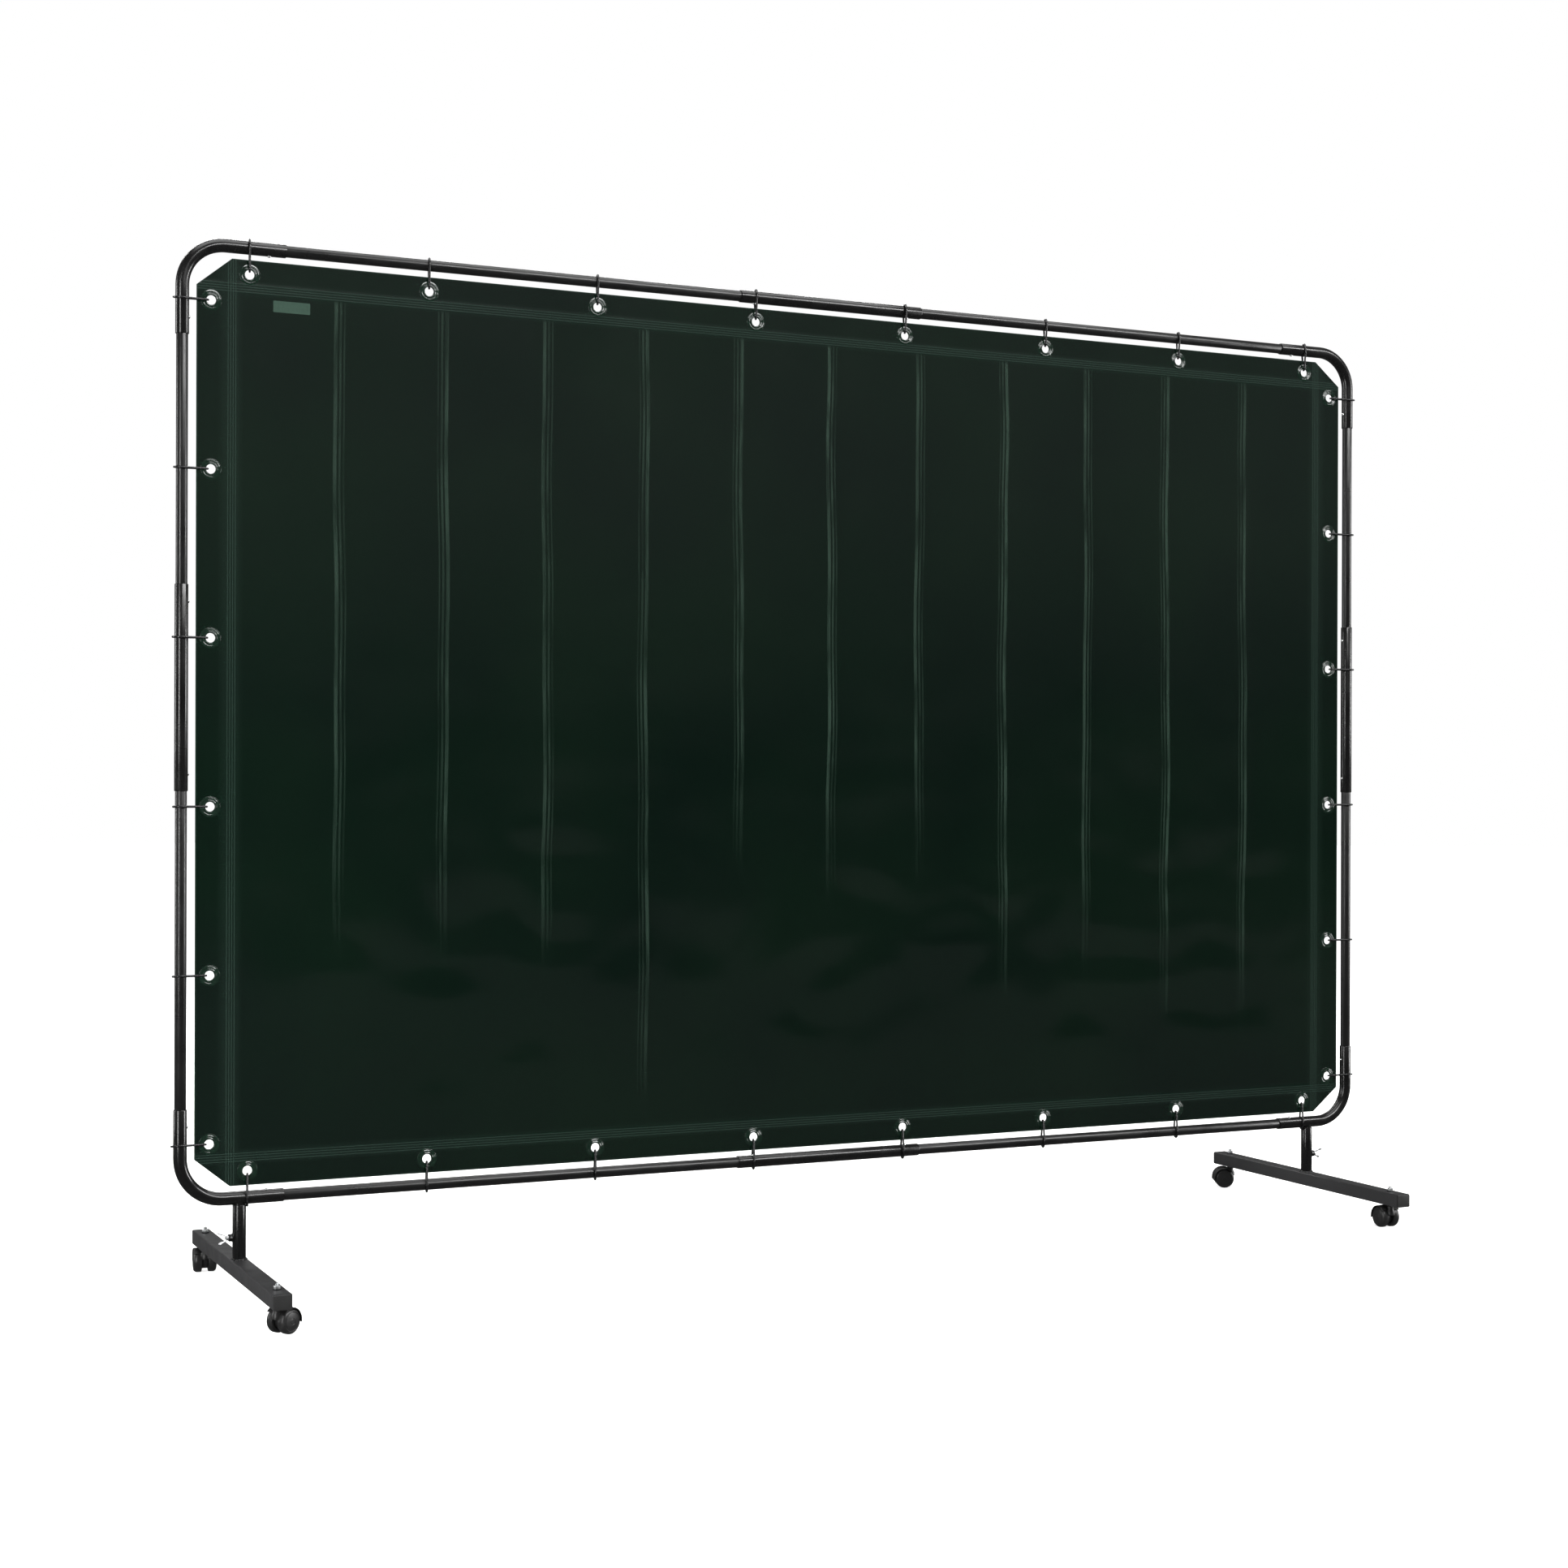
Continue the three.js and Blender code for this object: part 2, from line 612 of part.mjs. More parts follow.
// The sides: a sleeve a little above the middle, with a straight tube below it and one above.
const sleeveLow = sleeveZ - sleeveLengthZ / 2;
const sleeveHigh = sleeveZ + sleeveLengthZ / 2;
const lowerStart = bottomZ + cornerArmZ - insertDepth;
const upperStart = sleeveHigh - insertDepth;
const lowerLength = sleeveLow + insertDepth - lowerStart;
const upperLength = topZ - cornerArmZ + insertDepth - upperStart;
const sleeveUpright = sleeve(sleeveLengthZ);
for (const [side, sign] of [["left", -1], ["right", 1]]) {
  const x = sign * halfWidth;
  const inward = axisX.clone().multiplyScalar(-sign);
  const middle = frameAt(screen, new THREE.Vector3(x, 0, sleeveZ), inward, axisZ);
  add(middle, `sleeve_${side}`, sleeveUpright, finishes.frameTube);
  const tubes = [
    ["lower", lowerStart, lowerLength, [1, 2]],
    ["upper", upperStart, upperLength, [3, 4]],
  ];
  for (const [part, z, length, numbers] of tubes) {
    const names = numbers.map((n) => `snap_button_${side}_${n}`);
    const at = new THREE.Vector3(x, 0, z);
    addTube(`upright_${side}_${part}`, at, axisZ, inward, length, names);
  }
}

// The curtain, and the rings that carry it on the top tubes.
add(screen, "curtain", curtain(), finishes.film);
eyeletX.forEach((x, i) => {
  const at = new THREE.Vector3(x, 0, topZ);
  add(screen, `wire_ring_${i + 1}`, wireRing(topTubeRadius(x)), finishes.wire, at);
});

// The two feet. Each castor's heading is the way that it trails at rest, in degrees from +X.
const headings = {
  left: { near: 33, far: 83 },
  right: { near: 87, far: 153 },
};
const beam = footBeam();
const post = footPost();
const screw = wingScrew();
const stem = castorStem();
const housing = castorHousing();
const wheels = castorWheels();
for (const [side, sign] of [["left", -1], ["right", 1]]) {
  const foot = new THREE.Group();
  foot.position.x = sign * postX;
  screen.add(foot);
  const onCastors = new THREE.Vector3(0, 0, castorHeight);
  add(foot, `foot_beam_${side}`, beam, finishes.footPaint, onCastors);
  const uprightPost = new THREE.Group();
  uprightPost.position.z = beamTop;
  uprightPost.rotation.z = sign < 0 ? Math.PI : 0;
  foot.add(uprightPost);
  add(uprightPost, `foot_post_${side}`, post, finishes.frameTube);
  const screwSeat = frameAt(
    uprightPost, new THREE.Vector3(0, 0, postLength - screwDrop), axisZ.clone().negate(), axisX,
  );
  const wing = add(screwSeat, `wing_screw_${side}`, screw, finishes.zinc);
  wing.rotation.z = rad(wingTurn);
  const stemY = beamLength / 2 - stemFromEnd;
  for (const [end, y] of [["near", -stemY], ["far", stemY]]) {
    const castor = new THREE.Group();
    castor.position.y = y;
    foot.add(castor);
    add(castor, `castor_stem_${side}_${end}`, stem, finishes.zinc);
    const swivel = new THREE.Group();
    swivel.rotation.z = rad(headings[side][end]);
    castor.add(swivel);
    add(swivel, `castor_housing_${side}_${end}`, housing, finishes.nylon);
    const axle = new THREE.Vector3(trail, 0, wheelRadius);
    const pair = add(swivel, `castor_wheels_${side}_${end}`, wheels, finishes.nylon, axle);
    pair.quaternion.copy(towards(axisY));
    pair.rotateZ(Math.PI / wheelSides);
  }
}

export default screen;
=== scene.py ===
import json
import math
import random

import bmesh
import bpy
from mathutils import Matrix, Vector, noise


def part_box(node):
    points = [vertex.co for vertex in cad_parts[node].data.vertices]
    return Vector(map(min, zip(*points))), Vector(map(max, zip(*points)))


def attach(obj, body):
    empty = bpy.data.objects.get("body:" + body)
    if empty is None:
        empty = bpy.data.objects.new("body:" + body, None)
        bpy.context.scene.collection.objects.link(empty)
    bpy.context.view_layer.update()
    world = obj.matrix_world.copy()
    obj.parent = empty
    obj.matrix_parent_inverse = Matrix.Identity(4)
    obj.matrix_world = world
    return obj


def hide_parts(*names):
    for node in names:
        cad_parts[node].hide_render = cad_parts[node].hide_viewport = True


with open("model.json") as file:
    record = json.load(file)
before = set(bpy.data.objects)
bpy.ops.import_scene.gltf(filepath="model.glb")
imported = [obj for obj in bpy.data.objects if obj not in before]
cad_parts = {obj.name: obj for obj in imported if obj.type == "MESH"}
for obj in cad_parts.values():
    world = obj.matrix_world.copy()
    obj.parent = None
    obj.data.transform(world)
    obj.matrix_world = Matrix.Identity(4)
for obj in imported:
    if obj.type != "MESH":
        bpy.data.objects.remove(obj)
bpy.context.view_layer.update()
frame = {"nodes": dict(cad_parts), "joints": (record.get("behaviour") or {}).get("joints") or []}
scene = bpy.context.scene
mm = 0.001
sideSign = {"left": -1, "right": 1}

camera = {
    "place": (-1.991, -3.983, 0.860),
    "heading": 25.47,  # degrees from +Y towards +X
    "pitch": -0.05,
    "roll": 0.17,
    "lens": 55.52,
}
studio = {
    "floor": "F4F4F2",
    "floorRadius": 30.0,
    "floorGlow": (0.62, 1.0),  # under the screen, and out towards the backdrop
    "glowFrom": (1.2, 3.6),  # metres from the middle, over which the one turns into the other
    "backdrop": 1.0,
    # what the pieces mirror from above eye level, at it and below it, and the heights of the
    # mirrored direction over which each level turns into the next
    "high": 0.19,
    "eyeLevel": 0.03,
    "low": 0.08,
    "highFrom": (-0.02, 0.16),
    "lowFrom": (-0.085, -0.045),
    "lamps": [
        # name, place, looks at, width, height, watts, mirrored
        ("overhead", (0.0, -0.4, 4.4), (0.0, 0.0, 0.0), 4.6, 2.6, 110, True),
        ("front", (-1.2, -6.0, 2.6), (0.0, 0.0, 1.0), 2.4, 2.0, 40, False),
        ("highStrip", (1.9, -3.7, 3.7), (0.6, 0.0, 0.9), 5.4, 0.6, 250, True),
        ("leftStrip", (-3.5, -2.2, 1.25), (-1.1, 0.0, 0.8), 0.45, 2.4, 60, True),
        ("leftFill", (-2.5, -1.1, 0.7), (-1.1, 0.0, 0.05), 0.9, 0.5, 42, False),
        ("rightStrip", (7.4, -2.9, 1.6), (1.1, 0.0, 1.0), 1.3, 3.1, 280, True),
        ("back", (0.6, 6.0, 2.6), (0.0, 0.0, 1.0), 2.6, 2.0, 75, False),
        ("backStrip", (-5.6, 2.6, 1.6), (0.0, 0.0, 1.0), 0.7, 3.0, 90, True),
        ("backHigh", (0.0, 3.7, 4.0), (0.0, 0.0, 0.9), 5.0, 0.4, 90, True),
    ],
}


def toLinear(code):
    # an sRGB hex value as linear red, green, blue, alpha
    parts = [int(code[i : i + 2], 16) / 255 for i in (0, 2, 4)]
    return [c / 12.92 if c <= 0.04045 else ((c + 0.055) / 1.055) ** 2.4 for c in parts] + [1.0]


def addNode(tree, kind, settings=None, **links):
    # a node with its settings, and its inputs given as values, sockets or other nodes
    node = tree.nodes.new(kind)
    for key, value in (settings or {}).items():
        setattr(node, key, value)
    for key, value in links.items():
        name = key.replace("_", " ")
        socket = node.inputs[int(name[1:])] if name[1:].isdigit() else node.inputs[name]
        if isinstance(value, bpy.types.Node):
            value = value.outputs[0]
        if isinstance(value, bpy.types.NodeSocket):
            tree.links.new(value, socket)
        else:
            socket.default_value = value
    return node


def makeCamera():
    data = bpy.data.cameras.new("viewCamera")
    data.lens = camera["lens"]
    data.clip_end = 60
    obj = bpy.data.objects.new("viewCamera", data)
    turn = (
        Matrix.Rotation(-math.radians(camera["heading"]), 4, "Z")
        @ Matrix.Rotation(math.radians(90 + camera["pitch"]), 4, "X")
        @ Matrix.Rotation(math.radians(camera["roll"]), 4, "Z")
    )
    obj.matrix_world = Matrix.Translation(camera["place"]) @ turn
    scene.collection.objects.link(obj)
    scene.camera = obj


def makeFloor():
    # pale and matt, glowing a little, and left out of what the pieces mirror
    bm = bmesh.new()
    bmesh.ops.create_circle(bm, cap_ends=True, segments=96, radius=studio["floorRadius"])
    mesh = bpy.data.meshes.new("floor")
    bm.to_mesh(mesh)
    bm.free()
    floor = bpy.data.objects.new("floor", mesh)
    scene.collection.objects.link(floor)
    floor.visible_glossy = False
    paint = bpy.data.materials.new("paleStudioFloor")
    paint.use_nodes = True
    tree = paint.node_tree
    shader = tree.nodes["Principled BSDF"]
    shader.inputs["Base Color"].default_value = toLinear(studio["floor"])
    shader.inputs["Roughness"].default_value = 0.9
    where = addNode(tree, "ShaderNodeTexCoord").outputs["Object"]
    away = addNode(tree, "ShaderNodeVectorMath", {"operation": "LENGTH"}, n0=where).outputs["Value"]
    (nearGlow, farGlow), (start, end) = studio["floorGlow"], studio["glowFrom"]
    glow = addNode(
        tree, "ShaderNodeMapRange", Value=away, From_Min=start, From_Max=end,
        To_Min=nearGlow, To_Max=farGlow,
    )
    shader.inputs["Emission Color"].default_value = (1, 1, 1, 1)
    tree.links.new(glow.outputs["Result"], shader.inputs["Emission Strength"])
    mesh.materials.append(paint)


def makeWorld():
    # white where the camera sees it, and dim where a piece mirrors it
    world = bpy.data.worlds.new("studio")
    scene.world = world
    world.use_nodes = True
    tree = world.node_tree
    tree.nodes.clear()
    seen = addNode(tree, "ShaderNodeLightPath")
    where = addNode(tree, "ShaderNodeTexCoord")
    parts = addNode(tree, "ShaderNodeSeparateXYZ", Vector=where.outputs["Generated"])
    (highStart, highEnd), (lowStart, lowEnd) = studio["highFrom"], studio["lowFrom"]
    upper = addNode(
        tree, "ShaderNodeMapRange", {"interpolation_type": "SMOOTHSTEP"},
        Value=parts.outputs["Z"], From_Min=highStart, From_Max=highEnd,
        To_Min=studio["eyeLevel"], To_Max=studio["high"],
    )
    lower = addNode(
        tree, "ShaderNodeMapRange", {"interpolation_type": "SMOOTHSTEP"},
        Value=parts.outputs["Z"], From_Min=lowStart, From_Max=lowEnd,
        To_Min=studio["low"], To_Max=0,
    )
    level = addNode(
        tree, "ShaderNodeMath", {"operation": "ADD"},
        n0=upper.outputs["Result"], n1=lower.outputs["Result"],
    )
    soft = addNode(tree, "ShaderNodeBackground", Strength=level.outputs[0])
    plain = addNode(tree, "ShaderNodeBackground", Strength=studio["backdrop"])
    for node in (soft, plain):
        node.inputs["Color"].default_value = (1, 1, 1, 1)
    mixed = addNode(
        tree, "ShaderNodeMixShader",
        Fac=seen.outputs["Is Camera Ray"], n1=soft.outputs[0], n2=plain.outputs[0],
    )
    addNode(tree, "ShaderNodeOutputWorld", Surface=mixed.outputs[0])
    scene.view_settings.view_transform = "Standard"


def makeLamps():
    for name, place, target, width, height, watts, mirrored in studio["lamps"]:
        lamp = bpy.data.lights.new(name, "AREA")
        lamp.shape = "RECTANGLE"
        lamp.size, lamp.size_y, lamp.energy = width, height, watts
        obj = bpy.data.objects.new(name, lamp)
        aim = Vector(target) - Vector(place)
        turn = aim.to_track_quat("-Z", "Y").to_matrix().to_4x4()
        obj.matrix_world = Matrix.Translation(place) @ turn
        obj.visible_glossy = mirrored
        obj.visible_camera = False
        scene.collection.objects.link(obj)


makeCamera()
makeFloor()
makeWorld()
makeLamps()
print("camera, floor and lights are up")


def startMaterial(name, colour, roughness, metallic=0.0, ior=1.5):
    material = bpy.data.materials.new(name)
    material.use_nodes = True
    tree = material.node_tree
    shader = tree.nodes["Principled BSDF"]
    settings = {
        "Base Color": toLinear(colour), "Roughness": roughness, "Metallic": metallic, "IOR": ior,
    }
    for key, value in settings.items():
        shader.inputs[key].default_value = value
    where = addNode(tree, "ShaderNodeTexCoord").outputs["Object"]
    return material, tree, shader, where


def lumps(sizeMm):
    # the noise scale whose lumps are about so many millimetres across
    return 1 / (sizeMm * mm)


def finishWith(tree, shader, colour=None, roughness=None, height=None, depthMm=0.05, strength=1.0):
    for name, node, output in (("Base Color", colour, 2), ("Roughness", roughness, 0)):
        if node is not None:
            tree.links.new(node.outputs[output], shader.inputs[name])
    if height is not None:
        bump = addNode(
            tree, "ShaderNodeBump", Strength=strength, Distance=depthMm * mm, Height=height
        )
        tree.links.new(bump.outputs["Normal"], shader.inputs["Normal"])


def powderCoat(name, colour, light, roughness):
    # Polyester powder coat on steel, sprayed and baked: a shallow orange peel about 3 mm across
    # breaks up the edges of each highlight, and dust sits in it as faint lighter specks.
    material, tree, shader, where = startMaterial(name, colour, roughness)
    peel = addNode(tree, "ShaderNodeTexNoise", Vector=where, Scale=lumps(3.0), Detail=1.0)
    speck = addNode(tree, "ShaderNodeTexNoise", Vector=where, Scale=lumps(1.2), Detail=3.0)
    dust = addNode(
        tree, "ShaderNodeMapRange", Value=speck, From_Min=0.66, From_Max=0.85, To_Min=0.0, To_Max=0.22
    )
    tone = addNode(
        tree, "ShaderNodeMix", {"data_type": "RGBA"},
        n0=dust, n6=toLinear(colour), n7=toLinear(light),
    )
    cloud = addNode(tree, "ShaderNodeTexNoise", Vector=where, Scale=lumps(45.0), Detail=2.0)
    rough = addNode(
        tree, "ShaderNodeMapRange", Value=cloud, From_Min=0.35, From_Max=0.65,
        To_Min=roughness - 0.05, To_Max=roughness + 0.06,
    )
    finishWith(tree, shader, tone, rough, peel, 0.012, 0.4)
    return material


def platedSteel(name, colour, shade, roughness):
    # Zinc or nickel plated over turned or stamped steel: a cool metal with cloudy patches a few
    # mm wide and fine handling scratches.
    material, tree, shader, where = startMaterial(name, colour, roughness, metallic=1.0)
    patch = addNode(tree, "ShaderNodeTexNoise", Vector=where, Scale=lumps(4.0), Detail=3.0)
    cloud = addNode(
        tree, "ShaderNodeMapRange", Value=patch, From_Min=0.35, From_Max=0.7, To_Min=0.0, To_Max=1.0
    )
    tone = addNode(
        tree, "ShaderNodeMix", {"data_type": "RGBA"},
        n0=cloud, n6=toLinear(colour), n7=toLinear(shade),
    )
    stretched = addNode(tree, "ShaderNodeMapping", Vector=where, Scale=(1, 1, 9))
    fine = addNode(tree, "ShaderNodeTexNoise", Vector=stretched, Scale=lumps(0.9), Detail=2.0)
    rough = addNode(
        tree, "ShaderNodeMapRange", Value=fine, From_Min=0.3, From_Max=0.7,
        To_Min=roughness - 0.04, To_Max=roughness + 0.06,
    )
    finishWith(tree, shader, tone, rough, fine, 0.008, 0.25)
    return material


def mouldedPlastic(name, colour, light, roughness):
    # Glass-filled nylon or polythene from a spark-eroded mould: a matt grain near 0.8 mm, drawn
    # coarser than the real one so that it shows, with slightly paler flow patches.
    material, tree, shader, where = startMaterial(name, colour, roughness, ior=1.53)
    grain = addNode(tree, "ShaderNodeTexNoise", Vector=where, Scale=lumps(0.8), Detail=2.0)
    patch = addNode(tree, "ShaderNodeTexNoise", Vector=where, Scale=lumps(14.0), Detail=2.0)
    flow = addNode(
        tree, "ShaderNodeMapRange", Value=patch, From_Min=0.4, From_Max=0.7, To_Min=0.0, To_Max=0.6
    )
    tone = addNode(
        tree, "ShaderNodeMix", {"data_type": "RGBA"},
        n0=flow, n6=toLinear(colour), n7=toLinear(light),
    )
    rough = addNode(
        tree, "ShaderNodeMapRange", Value=grain, From_Min=0.3, From_Max=0.7,
        To_Min=roughness - 0.06, To_Max=roughness + 0.08,
    )
    finishWith(tree, shader, tone, rough, grain, 0.06, 0.6)
    return material


def softVinylFilm():
    # Tinted soft PVC film, calendered and packed folded: near black-green, glossy and a little
    # smeared, with paler stress lines at the welds ("seam") and a pale painted reflection along the
    # packing folds.
    look = {
        # fold is the colour of the painted reflection along a packing fold
        "tone": "040E08", "deep": "030B07", "seam": "22302A", "fold": "202D26", "roughness": 0.07,
    }
    material, tree, shader, where = startMaterial(
        "softVinylFilm", look["tone"], look["roughness"], ior=1.53
    )
    broad = addNode(tree, "ShaderNodeTexNoise", Vector=where, Scale=lumps(420.0), Detail=2.0)
    cloud = addNode(
        tree, "ShaderNodeMapRange", Value=broad, From_Min=0.38, From_Max=0.62, To_Min=0.0, To_Max=1.0
    )
    tone = addNode(
        tree, "ShaderNodeMix", {"data_type": "RGBA"},
        n0=cloud, n6=toLinear(look["tone"]), n7=toLinear(look["deep"]),
    )
    # the painted reflection along a fold comes and goes along it
    stretchedAlongFold = addNode(tree, "ShaderNodeMapping", Vector=where, Scale=(1, 1, 0.12))
    streak = addNode(tree, "ShaderNodeTexNoise", Vector=stretchedAlongFold, Scale=lumps(14.0), Detail=3.0)
    patchyFoldReflection = addNode(
        tree, "ShaderNodeMapRange", Value=streak, From_Min=0.36, From_Max=0.6, To_Min=0.25, To_Max=1.0
    )
    # painted reflection: the folds are painted paler, standing in for the light they catch
    crease_reflection = addNode(tree, "ShaderNodeAttribute", {"attribute_name": "crease_reflection"})
    foldReflection = addNode(
        tree, "ShaderNodeMath", {"operation": "MULTIPLY"}, n0=crease_reflection.outputs["Fac"], n1=patchyFoldReflection
    )
    tone = addNode(
        tree, "ShaderNodeMix", {"data_type": "RGBA"},
        n0=foldReflection, n6=tone.outputs[2], n7=toLinear(look["fold"]),
    )
    seam = addNode(tree, "ShaderNodeAttribute", {"attribute_name": "seam"})
    tone = addNode(
        tree, "ShaderNodeMix", {"data_type": "RGBA"},
        n0=seam.outputs["Fac"], n6=tone.outputs[2], n7=toLinear(look["seam"]),
    )
    handled = addNode(tree, "ShaderNodeTexNoise", Vector=where, Scale=lumps(160.0), Detail=4.0)
    smear = addNode(
        tree, "ShaderNodeMapRange", Value=handled, From_Min=0.35, From_Max=0.7,
        To_Min=look["roughness"], To_Max=look["roughness"] + 0.05,
    )
    ripple = addNode(tree, "ShaderNodeTexNoise", Vector=where, Scale=lumps(60.0), Detail=2.0)
    finishWith(tree, shader, tone, smear, ripple, 0.5, 0.35)
    return material


def hardVinyl():
    # Rigid PVC eyelet, injection moulded in the film's own green and polished by its mould, so
    # each ridge carries a thin bright arc.
    material, tree, shader, where = startMaterial("hardVinylEyelet", "0A1610", 0.1, ior=1.53)
    swirl = addNode(tree, "ShaderNodeTexNoise", Vector=where, Scale=lumps(9.0), Detail=2.0)
    tone = addNode(
        tree, "ShaderNodeMix", {"data_type": "RGBA"},
        n0=swirl, n6=toLinear("06110B"), n7=toLinear("0A1A12"),
    )
    wave = addNode(tree, "ShaderNodeTexNoise", Vector=where, Scale=lumps(2.5), Detail=2.0)
    finishWith(tree, shader, tone, None, wave, 0.03, 0.3)
    return material


def satinLabel():
    # Blank satin-coated label strip welded under the film: smooth with a faint cross weave.
    material, tree, shader, where = startMaterial("satinLabel", "26362E", 0.12)
    flattened = addNode(tree, "ShaderNodeMapping", Vector=where, Scale=(1, 1, 0.35))
    weave = addNode(tree, "ShaderNodeTexNoise", Vector=flattened, Scale=lumps(1.5), Detail=1.0)
    tone = addNode(
        tree, "ShaderNodeMix", {"data_type": "RGBA"},
        n0=weave, n6=toLinear("22312A"), n7=toLinear("2B3C33"),
    )
    finishWith(tree, shader, tone, None, weave, 0.05, 0.5)
    return material


finishes = {
    "socket": powderCoat("powderCoatGlossBlack", "060606", "141415", 0.24),
    "tube": powderCoat("powderCoatSemiGlossBlack", "080808", "161617", 0.32),
    # satin black powder coat whose greyer base colour is partly painted light, standing in for the
    # strong light on the beams
    "beam": powderCoat("powderCoatSatinBlackWithPaintedLight", "222223", "353536", 0.42),
    "wire": powderCoat("lacqueredWireBlack", "0A0A0B", "1A1A1B", 0.22),
    "zinc": platedSteel("brightZincPlate", "E4E5E5", "C0C3C5", 0.4),
    "nickel": platedSteel("nickelPlatedSpring", "DADADA", "B9BABB", 0.18),
    # darker plated steel for the washers under the stem nuts
    "washer": platedSteel("darkPlatedWasher", "3A3B3C", "232425", 0.4),
    "housing": mouldedPlastic("glassFilledNylon", "0D0D0D", "151515", 0.42),
    "wheel": mouldedPlastic("mouldedNylonWheel", "111111", "191919", 0.38),
    "plug": mouldedPlastic("mouldedPolythenePlug", "161616", "1E1E1E", 0.5),
    "film": softVinylFilm(),
    "eyelet": hardVinyl(),
    "label": satinLabel(),
}
print("materials:", len(finishes))


def addPiece(name, bm, finish, body, replaces=(), sharp=32):
    bmesh.ops.remove_doubles(bm, verts=bm.verts, dist=1e-6)
    bmesh.ops.recalc_face_normals(bm, faces=bm.faces)
    mesh = bpy.data.meshes.new(name)
    bm.to_mesh(mesh)
    bm.free()
    mesh.shade_smooth()
    mesh.set_sharp_from_angle(angle=math.radians(sharp))
    mesh.materials.append(finishes[finish])
    obj = bpy.data.objects.new(name, mesh)
    scene.collection.objects.link(obj)
    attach(obj, body)
    if replaces:
        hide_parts(*replaces)
    return obj


def spun(profile, steps=40, closed=True):
    # turns an outline of (radius, height) in mm about Z
    bm = bmesh.new()
    verts = [bm.verts.new((r * mm, 0, z * mm)) for r, z in profile]
    ends = verts[1:] + verts[:1] if closed else verts[1:]
    edges = [bm.edges.new(pair) for pair in zip(verts, ends)]
    bmesh.ops.spin(
        bm, geom=verts + edges, cent=(0, 0, 0), axis=(0, 0, 1), angle=2 * math.pi, steps=steps,
        use_merge=True, use_duplicate=False,
    )
    bmesh.ops.remove_doubles(bm, verts=bm.verts, dist=1e-6)
    bmesh.ops.recalc_face_normals(bm, faces=bm.faces)
    return bm


def softenEdges(bm, widthMm, segments=2, angle=40):
    edges = [
        e for e in bm.edges
        if len(e.link_faces) == 2 and e.calc_face_angle(0) > math.radians(angle)
    ]
    bmesh.ops.bevel(
        bm, geom=edges, offset=widthMm * mm, offset_type="OFFSET", segments=segments,
        profile=0.5, affect="EDGES", material=-1, clamp_overlap=True,
    )


def turned(bm, matrix):
    bmesh.ops.transform(bm, matrix=matrix, verts=bm.verts)
    return bm


def gather(target, other):
    # adds another bmesh to this one
    mesh = bpy.data.meshes.new("gathered")
    other.to_mesh(mesh)
    other.free()
    target.from_mesh(mesh)
    bpy.data.meshes.remove(mesh)
    return target


def combine(obj, tool, operation):
    # cuts or joins a closed shape with a Boolean modifier, applied at once
    mesh = bpy.data.meshes.new("tool")
    bmesh.ops.recalc_face_normals(tool, faces=tool.faces)
    tool.to_mesh(mesh)
    tool.free()
    cutter = bpy.data.objects.new("tool", mesh)
    scene.collection.objects.link(cutter)
    modifier = obj.modifiers.new("combine", "BOOLEAN")
    modifier.operation, modifier.object, modifier.solver = operation, cutter, "EXACT"
    bpy.context.view_layer.update()
    result = bpy.data.meshes.new_from_object(
        obj.evaluated_get(bpy.context.evaluated_depsgraph_get())
    )
    obj.modifiers.clear()
    old, obj.data = obj.data, result
    name = old.name
    bpy.data.meshes.remove(old)
    result.name = name
    result.shade_smooth()
    result.set_sharp_from_angle(angle=math.radians(32))
    bpy.data.objects.remove(cutter)
    bpy.data.meshes.remove(mesh)


def rodShape(radius, low, high, steps=24):
    return spun([(0, low), (radius, low), (radius, high), (0, high)], steps, closed=False)


def facing(direction, place=(0, 0, 0)):
    # the matrix that takes +Z to a direction and the origin to a place
    turn = Vector((0, 0, 1)).rotation_difference(Vector(direction)).to_matrix().to_4x4()
    return Matrix.Translation(place) @ turn


def extrudeRing(bm, ring, move=(0, 0, 0), scale=1.0, centre=None):
    made = bmesh.ops.extrude_edge_only(bm, edges=ring)["geom"]
    verts = [g for g in made if isinstance(g, bmesh.types.BMVert)]
    if scale != 1.0:
        space = Matrix.Translation(-Vector(centre))
        bmesh.ops.scale(bm, vec=(scale,) * 3, space=space, verts=verts)
    bmesh.ops.translate(bm, vec=move, verts=verts)
    edges = [g for g in made if isinstance(g, bmesh.types.BMEdge)]
    return [e for e in edges if all(v in verts for v in e.verts)]


def spinRing(bm, ring, centre, axis, angle, steps):
    verts = list(dict.fromkeys(v for e in ring for v in e.verts))
    made = bmesh.ops.spin(
        bm, geom=verts + ring, cent=centre, axis=axis, angle=angle, steps=steps,
        use_merge=False, use_duplicate=False,
    )["geom_last"]
    return [g for g in made if isinstance(g, bmesh.types.BMEdge)]


tubeWork = {
    "sides": 48,
    "bendRadius": 70,
    "bendSteps": 18,
    "tubeWall": 1.2,
    "socketWall": 1.2,
    "mouthRound": 0.8,
    "buttonHole": 3.3,
    "holeFromMouth": 28,  # of a bend or a sleeve
    "holeFromEnd": 27,  # of a straight tube
    "stubRadius": 9.5,
    "stubDepth": 70,  # below the arm
    "stubRoot": 5,  # below the arm's axis, inside it
    "stubRound": 0.5,
}

